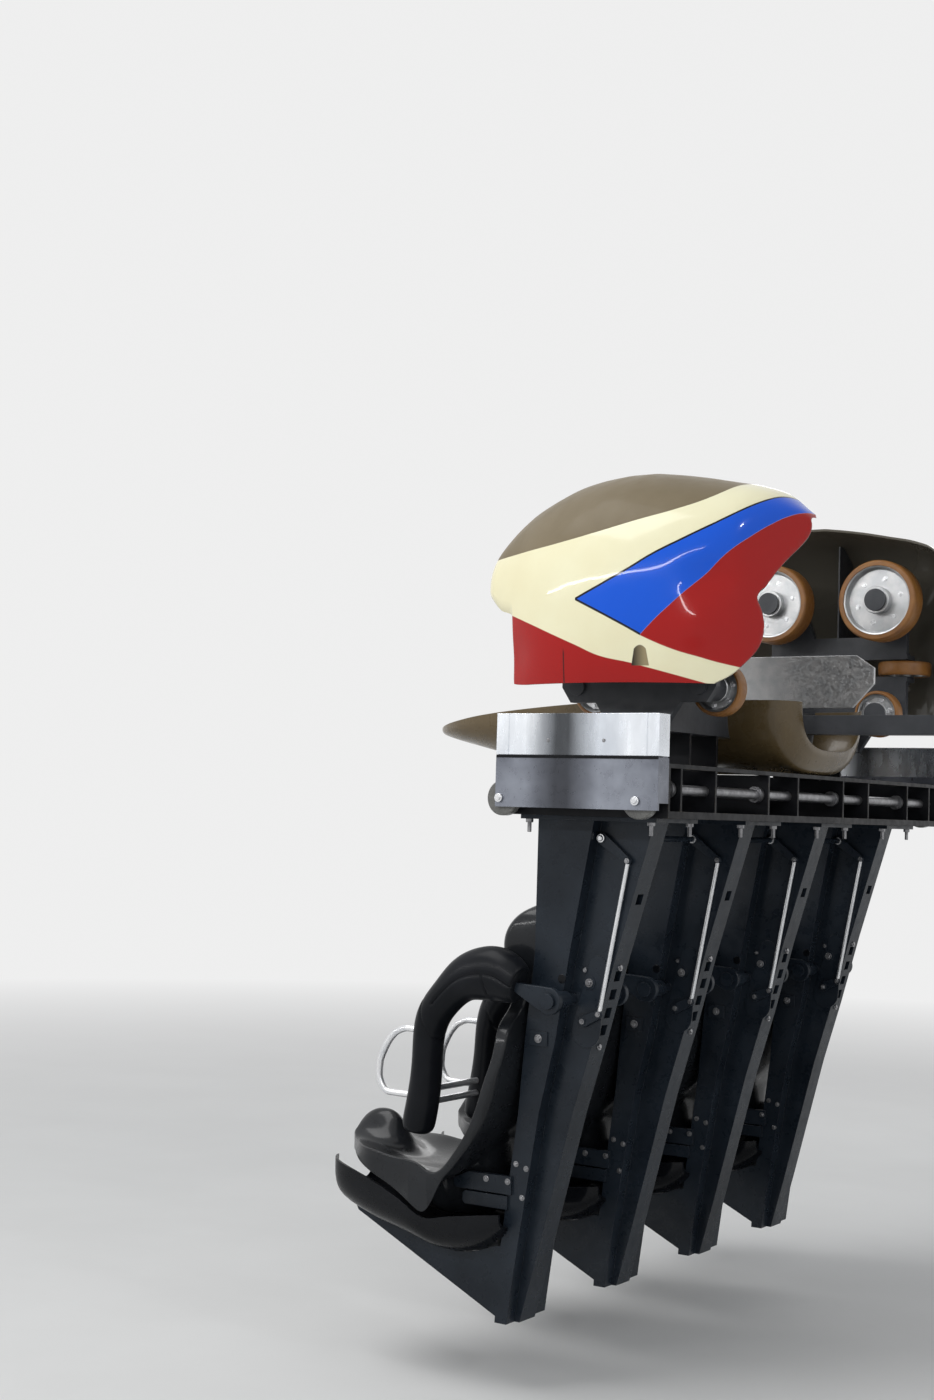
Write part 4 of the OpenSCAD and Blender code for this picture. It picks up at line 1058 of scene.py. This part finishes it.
def studio():
    soft_light("key", (3.0, 3.4, 6.2), (0, 0, -0.4), (6.0, 4.0), 300)
    soft_light("strip", (2.6, 6.2, 1.75), (2.6, 0, 0.1), (13.0, 0.16), 165)
    soft_light("fill", (-5.5, 2.5, 2.6), (0, 0, -1.0), (0.4, 0.4), 30)
    soft_light("back", (1.5, -5.5, 1.6), (0, 0, -0.8), (4.0, 1.6), 45)
    world = bpy.data.worlds.new("studio")
    bpy.context.scene.world = world
    world.use_nodes = True
    tree = world.node_tree
    tree.nodes.clear()
    rays = node(tree, "LightPath").outputs
    seen = maths(tree, "MAXIMUM", rays["Is Camera Ray"], rays["Is Glossy Ray"])
    seen = maths(tree, "MAXIMUM", seen, rays["Is Transmission Ray"])
    soft = node(tree, "Background", {"Color": (0.93, 0.96, 1.0, 1), "Strength": 0.34})
    pale = node(tree, "Background", {"Color": BACKDROP, "Strength": 1.0})
    both = node(tree, "MixShader", {0: seen, 1: soft.outputs[0], 2: pale.outputs[0]})
    node(tree, "OutputWorld", {"Surface": both.outputs[0]})


def floor():
    mesh = bpy.data.meshes.new("floor")
    corners = [(x * FLOOR_HALF, y * FLOOR_HALF, FLOOR_Z) for x, y in ((-1, -1), (1, -1), (1, 1), (-1, 1))]
    mesh.from_pydata(corners, [], [(0, 1, 2, 3)])
    piece = placed("floor", mesh)
    material, tree, shader = new_material("floor")
    patches = spread(tree, noise(tree, 1.4, 5), 0.35, 0.7)
    mottled = mix_color(tree, patches, (0.80, 0.80, 0.79), (0.77, 0.77, 0.76))
    feed(tree, shader, {"Base Color": mottled, "Roughness": 0.75, "Specular IOR Level": 0.2})
    # Far from the car the floor turns into the backdrop's tone
    distance = node(tree, "VectorMath", {0: node(tree, "TexCoord").outputs["Object"]}, operation="LENGTH")
    far = spread(tree, distance.outputs["Value"], FLOOR_NEAR, FLOOR_FAR)
    glow = node(tree, "Emission", {"Color": BACKDROP, "Strength": 1.0})
    both = node(tree, "MixShader", {0: far, 1: shader.outputs[0], 2: glow.outputs[0]})
    tree.links.new(both.outputs[0], tree.nodes["Material Output"].inputs["Surface"])
    mesh.materials.append(material)


camera()
studio()
floor()
bpy.context.scene.view_settings.view_transform = "Standard"
finish_cad_nodes()
for side_name in SIDES:
    wheel_cover(side_name)
for seat in SEATS:
    shell(seat)
    tray(seat)
    pads(seat)
    arms(seat)
    post_details(seat)
belly()
for side_name in SIDES:
    for end_name in ENDS:
        for wheel_kind in WHEELS:
            wheel(wheel_kind, side_name, end_name)
release_levers()
row_end_details()
